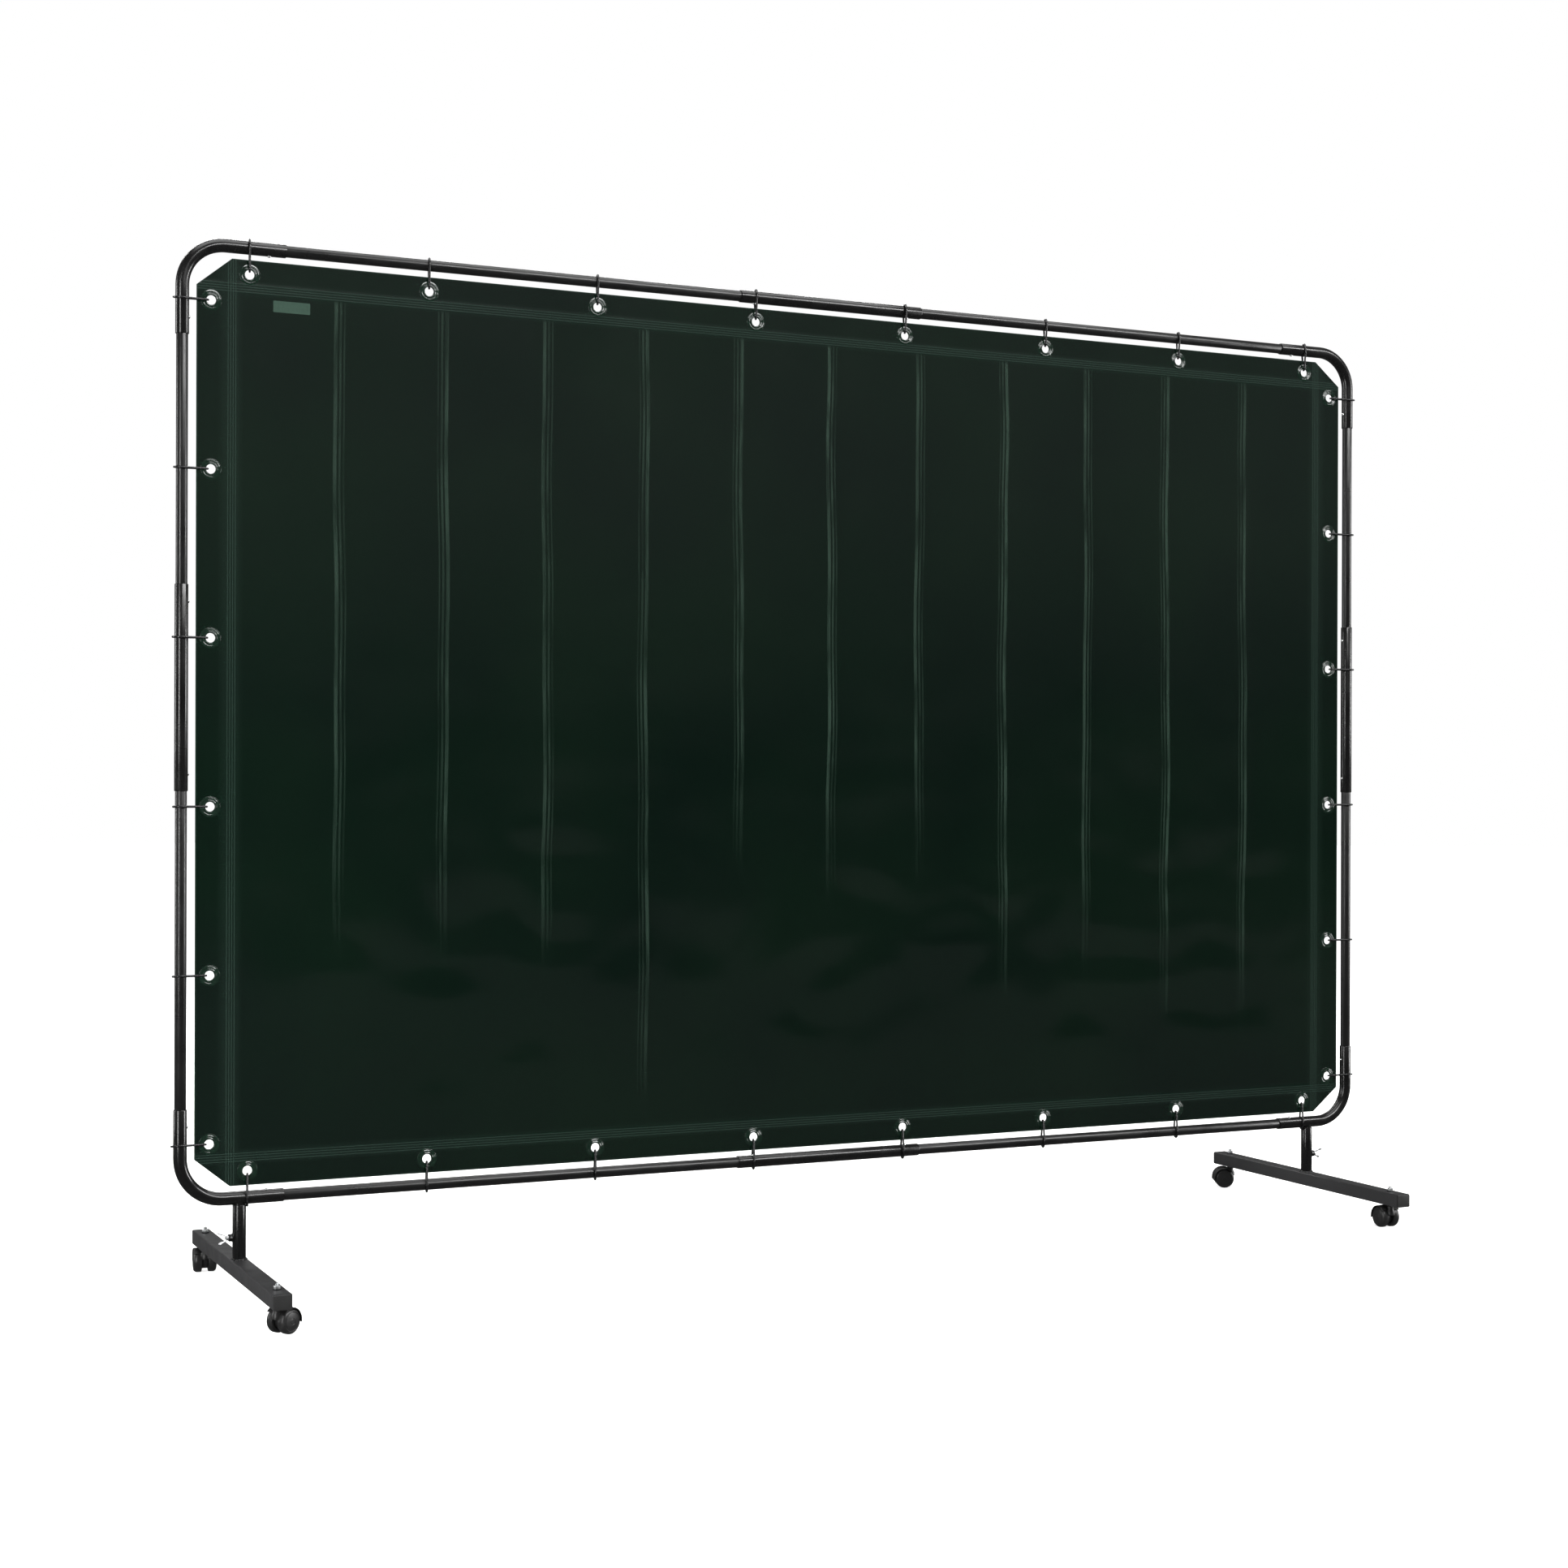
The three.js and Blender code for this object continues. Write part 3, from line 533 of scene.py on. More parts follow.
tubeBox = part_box("upright_left_upper")
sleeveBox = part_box("sleeve_left")
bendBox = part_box("corner_bend_top_left")
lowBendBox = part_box("corner_bend_bottom_left")
tubeRadius = (tubeBox[1].x - tubeBox[0].x) / 2 / mm
socketRadius = (sleeveBox[1].x - sleeveBox[0].x) / 2 / mm
halfWidth = -bendBox[0].x / mm - socketRadius  # middle of the frame to the side tubes' axes
topZ = bendBox[1].z / mm - socketRadius
armX = halfWidth + bendBox[1].x / mm  # corner of the axes to the level arm's mouth
armZ = topZ - bendBox[0].z / mm
bottomZ = lowBendBox[1].z / mm - armZ
jointPlace = {j["name"]: Vector(j["pos_m"]) / mm for j in frame["joints"] if "pos_m" in j}
postX = abs(jointPlace["foot_left_swivel"].x)


def cornerSweep(radius, wall):
    # a bend from a mouth at +X to a mouth at -Z, with the corner of the axes at the origin
    w = tubeWork
    bm = bmesh.new()
    r, b, bore = radius, w["mouthRound"], radius - wall
    turnX = Matrix.Translation((armX * mm, 0, 0)) @ Matrix.Rotation(math.radians(90), 4, "Y")
    bmesh.ops.create_circle(
        bm, cap_ends=False, segments=w["sides"], radius=bore * mm, matrix=turnX
    )
    mouth = Vector((armX * mm, 0, 0))
    lipIn = Vector((-0.3 * b * mm, 0, 0))
    ring = extrudeRing(bm, bm.edges[:], scale=(r - b) / bore, centre=mouth)
    ring = extrudeRing(bm, ring, lipIn, (r - 0.3 * b) / (r - b), mouth)
    ring = extrudeRing(bm, ring, (-0.7 * b * mm, 0, 0), r / (r - 0.3 * b), mouth + lipIn)
    ring = extrudeRing(bm, ring, (-(armX - b - w["bendRadius"]) * mm, 0, 0))
    centre = (w["bendRadius"] * mm, 0, -w["bendRadius"] * mm)
    ring = spinRing(bm, ring, centre, (0, 1, 0), -math.radians(90), w["bendSteps"])
    ring = extrudeRing(bm, ring, (0, 0, -(armZ - b - w["bendRadius"]) * mm))
    low, lipOut = Vector((0, 0, -(armZ - b) * mm)), Vector((0, 0, -0.7 * b * mm))
    ring = extrudeRing(bm, ring, lipOut, (r - 0.3 * b) / r, low)
    ring = extrudeRing(bm, ring, (0, 0, -0.3 * b * mm), (r - b) / (r - 0.3 * b), low + lipOut)
    ring = extrudeRing(bm, ring, (0, 0, 0), bore / (r - b), (0, 0, -armZ * mm))
    ring = extrudeRing(bm, ring, (0, 0, (armZ - w["bendRadius"]) * mm))
    ring = spinRing(bm, ring, centre, (0, 1, 0), math.radians(90), w["bendSteps"])
    extrudeRing(bm, ring, ((armX - w["bendRadius"]) * mm, 0, 0))
    bmesh.ops.remove_doubles(bm, verts=bm.verts, dist=2e-6)
    return bm


def holeTool(place, direction):
    reach = socketRadius + 3
    return turned(rodShape(tubeWork["buttonHole"], 4, reach), facing(direction, place))


def makeBends():
    w = tubeWork
    fromMouth = w["holeFromMouth"]
    for side, sign in sideSign.items():
        for level, z in (("top", topZ), ("bottom", bottomZ)):
            up = 1 if level == "top" else -1
            bm = cornerSweep(socketRadius, w["socketWall"])
            flip = Matrix.Diagonal((-sign, 1, up, 1))
            corner = Vector((sign * halfWidth, 0, z)) * mm
            bm = turned(bm, Matrix.Translation(corner) @ flip)
            node = f"corner_bend_{level}_{side}"
            bend = addPiece(f"bend_{level}_{side}", bm, "socket", "frame", [node])
            alongX = Vector((sign * (halfWidth - armX + fromMouth), 0, z)) * mm
            alongZ = Vector((sign * halfWidth, 0, z - up * (armZ - fromMouth))) * mm
            combine(bend, holeTool(alongX, (0, 0, -up)), "DIFFERENCE")
            combine(bend, holeTool(alongZ, (-sign, 0, 0)), "DIFFERENCE")
            if level == "bottom":
                r, root, b = w["stubRadius"], -w["stubRoot"], w["stubRound"]
                bore, low = r - w["tubeWall"], -socketRadius - w["stubDepth"]
                outline = [(bore, low), (r - b, low), (r, low + b), (r, root), (bore, root)]
                foot = Matrix.Translation(Vector((sign * postX, 0, z)) * mm)
                combine(bend, turned(spun(outline, w["sides"]), foot), "UNION")


def pipeOutline(radius, wall, length, rounding):
    r, b = radius, rounding
    return [
        (r - wall, 0), (r - b, 0), (r - 0.3 * b, 0.3 * b), (r, b),
        (r, length - b), (r - 0.3 * b, length - 0.3 * b), (r - b, length), (r - wall, length),
    ]


def makeStraightPieces():
    # tubes and sleeves, along whichever way their boxes are long
    inward = {"top": (0, 0, -1), "bottom": (0, 0, 1), "left": (1, 0, 0), "right": (-1, 0, 0)}
    names = [n for n in frame["nodes"] if n.startswith(("rail_", "upright_", "sleeve_"))]
    for node in sorted(names):
        low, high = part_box(node)
        isSleeve = node.startswith("sleeve_")
        alongX = (high.x - low.x) > (high.z - low.z)
        length = ((high.x - low.x) if alongX else (high.z - low.z)) / mm
        middle = (low + high) / 2
        start = Vector((low.x, 0, middle.z)) if alongX else Vector((middle.x, 0, low.z))
        way = Vector((1, 0, 0)) if alongX else Vector((0, 0, 1))
        radius = socketRadius if isSleeve else tubeRadius
        outline = pipeOutline(radius, tubeWork["tubeWall"], length, tubeWork["mouthRound"])
        bm = turned(spun(outline, tubeWork["sides"]), facing(way, start))
        finish = "socket" if isSleeve else "tube"
        name = node
        for word, plain in (("upright", "side_tube"), ("rail", "level_tube"), ("sleeve", "joiner")):
            name = name.replace(word, plain)
        piece = addPiece(name, bm, finish, "frame", [node])
        fromEnd = tubeWork["holeFromMouth" if isSleeve else "holeFromEnd"]
        side = node.split("_")[1]
        for distance in (fromEnd, length - fromEnd):
            combine(piece, holeTool(start + way * distance * mm, inward[side]), "DIFFERENCE")


makeBends()
makeStraightPieces()
print("frame tubes, bends and joiners made")

buttonWork = {
    "radius": 3.0,
    "proud": 1.8,
    "springWidth": 6.0,
    "springThick": 0.8,
    "springLength": 34,
    "springTail": 5,
    "travel": 3.2,
}


def buttonShape():
    # the button points up Z from the tube's axis and its V spring runs along +X
    w = buttonWork
    top = socketRadius + w["proud"]
    r = w["radius"]
    legTop = math.sqrt((tubeRadius - tubeWork["tubeWall"] - 0.35) ** 2 - (w["springWidth"] / 2) ** 2)
    bm = spun(
        [(0, legTop - 0.4), (r, legTop - 0.4), (r, top - 1.5), (r * 0.93, top - 0.9),
         (r * 0.72, top - 0.4), (r * 0.4, top - 0.1), (0, top)], 28, closed=False,
    )
    t, foot = w["springThick"], w["travel"] - legTop
    outline = [
        (-w["springTail"], legTop), (-w["springTail"], legTop - t),
        (w["springLength"] - 3, legTop - t), (0, foot + t), (0, foot),
        (w["springLength"], legTop - 2 * t), (w["springLength"], legTop),
    ]
    strip = bmesh.new()
    half = w["springWidth"] / 2
    face = strip.faces.new([strip.verts.new((x * mm, -half * mm, z * mm)) for x, z in outline])
    made = bmesh.ops.extrude_face_region(strip, geom=[face])["geom"]
    moved = [g for g in made if isinstance(g, bmesh.types.BMVert)]
    bmesh.ops.translate(strip, vec=(0, 2 * half * mm, 0), verts=moved)
    bmesh.ops.recalc_face_normals(strip, faces=strip.faces)
    return gather(bm, strip)


def makeButtons():
    out = {"top": (0, 0, -1), "bottom": (0, 0, 1), "left": (1, 0, 0), "right": (-1, 0, 0)}
    for node in sorted(n for n in frame["nodes"] if n.startswith("snap_button_")):
        side, number = node.split("_")[2], int(node.split("_")[3])
        low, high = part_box(node)
        z = Vector(out[side])
        alongTube = Vector((1, 0, 0)) if side in ("top", "bottom") else Vector((0, 0, 1))
        x = alongTube if number % 2 else -alongTube  # the spring runs to the tube's middle
        y = z.cross(x)
        axes = Matrix((x, y, z)).transposed().to_4x4()
        # the spring's tail ends springTail behind the button
        tail = min(low @ x, high @ x)
        along = x * (tail + buttonWork["springTail"] * mm)
        if side in ("top", "bottom"):
            centre = Vector((0, 0, topZ * mm if side == "top" else bottomZ * mm))
        else:
            centre = Vector((sideSign[side] * halfWidth * mm, 0, 0))
        bm = turned(buttonShape(), Matrix.Translation(centre + along) @ axes)
        addPiece(f"button_{side}_{number}", bm, "nickel", node, [node])


makeButtons()
print("snap buttons made")

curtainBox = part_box("curtain")
curtainWork = {
    "film": 0.6,
    "grid": 21,  # spacing of the plain parts of the mesh
    "hemX": 58,  # outer edge to the middle of the weld, at the sides
    "hemZ": 47,
    "cutX": 58,  # corner cut
    "cutZ": 47,
    "weldLines": 4,
    "weldPitch": 4.2,
    "weldLine": 1.5,
    "weldRise": 0.08,
    "betweenWelds": 0.14,  # how much of a weld line's whitening lies between the lines
    "edgeLine": 2.4,
    "eyeletInset": 24,
    "firstX": 110,  # from the side tube's axis
    "firstZ": 91,
    "countX": 8,
    "countZ": 6,
    "eyeletWindow": 10,  # half the opening under an eyelet's flange
    "folds": 11,
    "firstFold": 0.102,  # share of the width
    "foldBands": [
        (-12.5, 0), (-11.6, 0.5), (-10, 0.5), (-9.1, 0),
        (-6.4, 0), (-5.4, 0.75), (-2.8, 0.75), (-1.8, 0),
        (0.6, 0), (1.5, 1), (6.6, 1), (7.8, 0),
    ],
    "foldRise": 0.3,
    "foldReach": (0.62, 0.95),  # share of the film's height
    "foldFade": (0.18, 0.05),  # before and after that reach
    "foldWander": 2.6,
    "wanderLengths": (150, 52),
    "wanderRoom": (12, 40),  # from the fold, where the film gives way less and less
    "wave": 1.5,  # of the whole film
    "waveLengths": (210, 330, 95, 410),  # across and down, long and short
    "waveFrom": (25, 200),  # from the edges, where the film comes free
    "ripple": 1.1,  # of its lower half
    "rippleFrom": (350, 1000),  # above the lower edge
    "spotSize": (260, 150),
    "ridgeSize": (150, 105),
    "spotRise": 2.2,
    "ridgeRise": 3.2,
    "seed": 7,
}


def evenly(count, first, last):
    return [first + (last - first) * i / (count - 1) for i in range(count)]


filmRight = curtainBox[1].x / mm
filmLow, filmHigh = curtainBox[0].z / mm, curtainBox[1].z / mm
firstX, firstZ, eyeletInset = [curtainWork[key] for key in ("firstX", "firstZ", "eyeletInset")]
eyeletX = evenly(curtainWork["countX"], firstX - halfWidth, halfWidth - firstX)
eyeletZ = evenly(curtainWork["countZ"], bottomZ + firstZ, topZ - firstZ)
eyeletPlaces = [(x, z) for x in eyeletX for z in (filmLow + eyeletInset, filmHigh - eyeletInset)]
eyeletPlaces += [(s * (filmRight - eyeletInset), z) for z in eyeletZ for s in (-1, 1)]
foldX = [
    (2 * s - 1) * filmRight
    for s in evenly(curtainWork["folds"], curtainWork["firstFold"], 1 - curtainWork["firstFold"])
]


def smoothStep(value, low, high):
    t = min(1.0, max(0.0, (value - low) / (high - low)))
    return t * t * (3 - 2 * t)


def weldOffsets():
    w = curtainWork
    middle = (w["weldLines"] - 1) / 2
    return [(i - middle) * w["weldPitch"] for i in range(w["weldLines"])]


def weldStrength(offset):
    # 1 on a weld line, a little between the lines, 0 outside them
    w = curtainWork
    near = min(abs(offset - o) for o in weldOffsets())
    line = max(0.0, 1 - near / (w["weldLine"] / 2))
    inside = abs(offset) < w["weldPitch"] * w["weldLines"] / 2
    return max(line, w["betweenWelds"] if inside else 0.0)


def gridLines(low, high, special):
    # plain spacing between low and high, with the special lines let in
    w = curtainWork
    marks = sorted(x for x in set(special) if low < x < high)
    kept = [low]
    for mark in marks + [high]:
        gap = mark - kept[-1]
        if gap < 0.25 and mark != high:
            continue
        parts = max(1, round(gap / w["grid"]))
        kept += [kept[-1] + gap * (i + 1) / parts for i in range(parts)]
    return kept


def foldTable():
    # each fold's own length, wander, strength and handedness
    dice = random.Random(curtainWork["seed"])
    return [
        {
            "x": x, "reach": dice.uniform(*curtainWork["foldReach"]), "phase": dice.uniform(0, 6.28),
            "bend": dice.uniform(0, 6.28), "strength": dice.uniform(0.7, 1.0),
            "hand": dice.choice((-1, 1)),
        }
        for x in foldX
    ]


folds = foldTable()


def bandAt(offset):
    bands = curtainWork["foldBands"]
    for (a, va), (b, vb) in zip(bands, bands[1:]):
        if a <= offset <= b:
            return va + (vb - va) * (offset - a) / (b - a)
    return 0.0


def foldFade(fold, z):
    # full strength under the top weld, gone part of the way down
    w = curtainWork
    top = filmHigh - w["hemZ"] - 9
    down = (top - z) / (top - filmLow)
    if down < 0:
        return 0.0
    before, after = w["foldFade"]
    return fold["strength"] * (1 - smoothStep(down, fold["reach"] - before, fold["reach"] + after))


def filmColumns():
    w = curtainWork
    special = []
    for sign in (-1, 1):
        special.append(sign * (filmRight - w["edgeLine"]))
        for o in weldOffsets():
            middle = sign * (filmRight - w["hemX"]) + o
            special += [middle - w["weldLine"] / 2, middle, middle + w["weldLine"] / 2]
        inset = sign * (filmRight - w["eyeletInset"])
        special += [inset - w["eyeletWindow"], inset + w["eyeletWindow"]]
    for x in eyeletX:
        special += [x - w["eyeletWindow"], x + w["eyeletWindow"]]
    for fold in folds:
        special += [fold["x"] + fold["hand"] * o for o, _ in w["foldBands"]]
    return gridLines(-filmRight, filmRight, special)


def filmRows():
    w = curtainWork
    special = [filmLow + w["edgeLine"], filmHigh - w["edgeLine"]]
    for base, sign in ((filmLow, 1), (filmHigh, -1)):
        for o in weldOffsets():
            middle = base + sign * w["hemZ"] + o
            special += [middle - w["weldLine"] / 2, middle, middle + w["weldLine"] / 2]
        inset = base + sign * w["eyeletInset"]
        special += [inset - w["eyeletWindow"], inset + w["eyeletWindow"]]
    for z in eyeletZ:
        special += [z - w["eyeletWindow"], z + w["eyeletWindow"]]
    return gridLines(filmLow, filmHigh, special)


def filmGrid():
    # a row of edges along X, extruded up row by row, with the eyelet windows and corners cut
    w = curtainWork
    columns, rows = filmColumns(), filmRows()
    bm = bmesh.new()
    verts = [bm.verts.new((x * mm, 0, rows[0] * mm)) for x in columns]
    row = [bm.edges.new(pair) for pair in zip(verts, verts[1:])]
    for below, above in zip(rows, rows[1:]):
        row = extrudeRing(bm, row, (0, 0, (above - below) * mm))
    windows = [
        f for f in bm.faces
        if any(
            abs(f.calc_center_median().x / mm - x) < w["eyeletWindow"]
            and abs(f.calc_center_median().z / mm - z) < w["eyeletWindow"]
            for x, z in eyeletPlaces
        )
    ]
    bmesh.ops.delete(bm, geom=windows, context="FACES")
    for sx in (-1, 1):
        for base, sz in ((filmLow, -1), (filmHigh, 1)):
            onEdge = Vector((sx * (filmRight - w["cutX"]), 0, base)) * mm
            normal = Vector((sx * w["cutZ"], 0, sz * w["cutX"])).normalized()
            bmesh.ops.bisect_plane(
                bm, geom=bm.verts[:] + bm.edges[:] + bm.faces[:], dist=1e-7,
                plane_co=onEdge, plane_no=normal, clear_outer=True, clear_inner=False,
            )
    return bm


def shapeFilm(bm):
    # marks the welds and folds on each vertex, then moves it: folds wander, welds and folds
    # stand up, the film waves between its edges and ripples in its lower half
    w = curtainWork
    seamLayer = bm.verts.layers.float.new("seam")
    # the second layer holds how strongly each vertex carries the painted fold reflection
    foldReflectionLayer = bm.verts.layers.float.new("crease_reflection")
    (slowLength, quickLength), (near, far) = w["wanderLengths"], w["wanderRoom"]
    longX, longZ, shortX, shortZ = w["waveLengths"]
    (spotX, spotZ), (ridgeX, ridgeZ) = w["spotSize"], w["ridgeSize"]
    rippleLow, rippleHigh = [filmLow + height for height in w["rippleFrom"]]
    for v in bm.verts:
        x, z = v.co.x / mm, v.co.z / mm
        toEdge = min(filmRight - abs(x), z - filmLow, filmHigh - z)
        weldX = weldStrength(filmRight - w["hemX"] - abs(x))
        weldZ = weldStrength(min(z - filmLow, filmHigh - z) - w["hemZ"])
        weld = max(weldX, weldZ)
        v[seamLayer] = max(0.8 * weld, 0.6 if toEdge < w["edgeLine"] / 2 else 0.0)
        rise = w["weldRise"] * (weld if weld > 0.2 else 0.0)
        wander = 0.0
        for fold in folds:
            offset = (x - fold["x"]) * fold["hand"]
            if abs(offset) > far:
                continue
            fade = foldFade(fold, z)
            band = bandAt(offset)
            v[foldReflectionLayer] = band * fade
            rise += w["foldRise"] * band * fade * (1 if offset > -3 else -0.7)
            loose = fade * (1 - smoothStep(abs(offset), near, far))
            sway = math.sin(z / slowLength + fold["phase"])
            sway += 0.5 * math.sin(z / quickLength + fold["bend"])
            wander += w["foldWander"] * sway * loose * smoothStep(filmHigh - w["hemZ"] - z, 8, 160)
        free = smoothStep(toEdge, *w["waveFrom"])
        swell = math.sin(x / longX + 0.6) * math.cos(z / longZ)
        swell += 0.6 * math.sin(x / shortX - z / shortZ)
        low = 1 - smoothStep(z, rippleLow, rippleHigh)
        spot = w["spotRise"] * noise.noise(Vector((x / spotX, 3.1, z / spotZ)))
        ridge = w["ridgeRise"] * abs(noise.noise(Vector((x / ridgeX, 8.2, z / ridgeZ))))
        wave = free * (w["wave"] * swell + w["ripple"] * low * (spot + ridge))
        v.co.x += wander * mm
        v.co.y -= (wave + rise) * mm


def inHem(face):
    w = curtainWork
    c = face.calc_center_median() / mm
    weldHalf = w["weldPitch"] * w["weldLines"] / 2
    atSide = filmRight - abs(c.x) < w["hemX"] + weldHalf
    atLevel = min(c.z - filmLow, filmHigh - c.z) < w["hemZ"] + weldHalf
    return atSide or atLevel


def layFilm(keep, back):
    # one layer of film; the hem's second layer lies behind the first
    bm = filmGrid()
    shapeFilm(bm)
    if keep:
        unwanted = [f for f in bm.faces if not keep(f)]
        bmesh.ops.delete(bm, geom=unwanted, context="FACES")
    bmesh.ops.translate(bm, vec=(0, back * mm, 0), verts=bm.verts)
    bmesh.ops.remove_doubles(bm, verts=bm.verts, dist=1e-6)
    bmesh.ops.recalc_face_normals(bm, faces=bm.faces)
    bmesh.ops.solidify(bm, geom=bm.faces[:], thickness=curtainWork["film"] * mm)
    return bm


def makeCurtain():
    w = curtainWork
    film = addPiece("film", layFilm(None, 0), "film", "frame", ["curtain"], 60)
    behind = layFilm(inHem, w["film"] + 0.05)
    hem = addPiece("hem_turnover", behind, "film", "frame", (), 60)
    return film, hem


eyeletWork = {
    "steps": 36,
    # radius and height of the front half, from the hole outwards
    "front": [
        (7.9, 0), (7.9, 0.9), (8.4, 1.6), (9.4, 1.95), (10.6, 1.7), (11.3, 1.15), (12.2, 0.85),
        (12.9, 1.05), (13.5, 1.45), (14.2, 1.4), (14.7, 0.95), (15.6, 0.75), (16.5, 0.8), (17.1, 0.6),
        (17.3, 0),
    ],
}


def makeEyelets():
    front = eyeletWork["front"]
    outline = front + [(r, -z) for r, z in reversed(front[1:-1])]
    whole = bmesh.new()
    for x, z in eyeletPlaces:
        one = spun(outline, eyeletWork["steps"])
        gather(whole, turned(one, facing((0, -1, 0), Vector((x, 0, z)) * mm)))
    return addPiece("eyelets", whole, "eyelet", "frame", (), 70)


labelWork = {"width": 62, "height": 19, "thick": 0.25, "fromEdge": 126, "belowWeld": 16}


def makeLabel():
    w = labelWork
    bm = bmesh.new()
    bmesh.ops.create_grid(bm, x_segments=1, y_segments=1, size=0.5)
    bmesh.ops.scale(bm, vec=(w["width"] * mm, w["height"] * mm, 1), verts=bm.verts)
    bmesh.ops.bevel(
        bm, geom=bm.verts[:], offset=1.2 * mm, offset_type="OFFSET", segments=3, profile=0.5,
        affect="VERTICES", material=-1, clamp_overlap=True,
    )
    made = bmesh.ops.extrude_face_region(bm, geom=bm.faces[:])["geom"]
    moved = [g for g in made if isinstance(g, bmesh.types.BMVert)]
    bmesh.ops.translate(bm, vec=(0, 0, w["thick"] * mm), verts=moved)
    x = -filmRight + w["fromEdge"] + w["width"] / 2
    z = filmHigh - curtainWork["hemZ"] - w["belowWeld"] - w["height"] / 2
    place = Matrix.Translation(Vector((x, -curtainWork["film"] / 2 - 0.35, z)) * mm)
    bm = turned(bm, place @ Matrix.Rotation(math.radians(90), 4, "X"))
    return addPiece("label_patch", bm, "label", "frame", (), 40)


film, hem = makeCurtain()
eyelets = makeEyelets()
label = makeLabel()
print("curtain made:", len(film.data.polygons), "faces,", len(eyeletPlaces), "eyelets")

ringWork = {
    "wire": 1.8,
    "gap": 0.9,
    "tip": 5.2,
    "twist": (12, 21),  # degrees that the rings hang out of true, from the left to the right
    "looseness": 1.5,
    "sideTwist": 10,
    "seed": 16,
    "sides": 12,
    "wideSteps": 16,
    "tipSteps": 9,
}


def ringShape(carrier, drop):
    # hangs on a tube along X at the origin and reaches down to an eyelet's hole at -drop
    w = ringWork
    wide = carrier + w["gap"] + w["wire"]
    tipDrop = drop - eyeletWork["front"][0][0] + w["gap"] + w["wire"] - w["tip"]
    lean = math.asin((wide - w["tip"]) / tipDrop)
    bm = bmesh.new()
    start = Matrix.Translation((0, 0, wide * mm)) @ Matrix.Rotation(math.radians(90), 4, "X")
    bmesh.ops.create_circle(
        bm, cap_ends=False, segments=w["sides"], radius=w["wire"] * mm, matrix=start
    )
    ring = spinRing(bm, bm.edges[:], (0, 0, 0), (1, 0, 0), -(math.pi / 2 + lean), w["wideSteps"])
    cos, sin = math.cos(lean), math.sin(lean)
    leg = Vector((0, (w["tip"] - wide) * cos, -tipDrop - (w["tip"] - wide) * sin)) * mm
    ring = extrudeRing(bm, ring, leg)
    spinRing(bm, ring, (0, 0, -tipDrop * mm), (1, 0, 0), -(math.pi / 2 - lean), w["tipSteps"])
    bmesh.ops.mirror(bm, geom=bm.verts[:] + bm.edges[:] + bm.faces[:], merge_dist=1e-6, axis="Y")
    return bm


def carrierRadius(place, alongX):
    # what a ring hangs on there: a bend's arm, a joiner or a straight tube
    if alongX:
        low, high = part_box("sleeve_top")
        onSocket = abs(place) > halfWidth - armX or low.x / mm < place < high.x / mm
    else:
        low, high = sleeveBox
        onArm = place > topZ - armZ or place < bottomZ + armZ
        onSocket = onArm or low.z / mm < place < high.z / mm
    return socketRadius if onSocket else tubeRadius


def makeRings():
    rings = []
    dropZ = topZ - filmHigh + curtainWork["eyeletInset"]
    dropX = halfWidth - filmRight + curtainWork["eyeletInset"]
    dice = random.Random(ringWork["seed"])
    least, most = ringWork["twist"]
    for i, x in enumerate(eyeletX):
        for level, z, turn in (("top", topZ, 0), ("bottom", bottomZ, 180)):
            bm = ringShape(carrierRadius(x, True), dropZ)
            loose = ringWork["looseness"] * dice.uniform(-1, 1)
            angle = least + (most - least) * i / (len(eyeletX) - 1) + loose
            twist = Matrix.Rotation(-math.radians(angle), 4, "Z")
            place = Matrix.Translation(Vector((x, 0, z)) * mm) @ twist
            bm = turned(bm, place @ Matrix.Rotation(math.radians(turn), 4, "Y"))
            node = [f"wire_ring_{i + 1}"] if level == "top" else []
            rings.append(addPiece(f"ring_{level}_{i + 1}", bm, "wire", "frame", node, 60))
    for i, z in enumerate(eyeletZ):
        for side, sign in sideSign.items():
            bm = ringShape(carrierRadius(z, False), dropX)
            place = Matrix.Translation(Vector((sign * halfWidth, 0, z)) * mm)
            lean = ringWork["sideTwist"] * (2 * z - topZ - bottomZ) / (topZ - bottomZ)
            twist = Matrix.Rotation(math.radians(lean), 4, "X")
            bm = turned(bm, place @ twist @ Matrix.Rotation(math.radians(sign * 90), 4, "Y"))
            rings.append(addPiece(f"ring_{side}_{i + 1}", bm, "wire", "frame", (), 60))
    return rings


rings = makeRings()

beamWork = {
    "wall": 1.5,
    "corner": 2.2,
    "plugFlange": 2.6,
    "plugShy": 0.7,  # the flange is this much smaller all round
    "plugReach": 14,
    "plugRoom": 0.4,  # between the insert and the beam's walls, both sides together
    "plugRibs": (4, 8, 12),  # snap ribs round the insert
    "ribProud": 0.3,
}
postWork = {
    "bead": 2.5,
    "beadLumps": 17,
    "beadRipple": 0.3,
    "nutRadius": 6.2,  # of the weld round the nut
    "nutAcross": 11.16,
    "nutLength": 6.5,
}


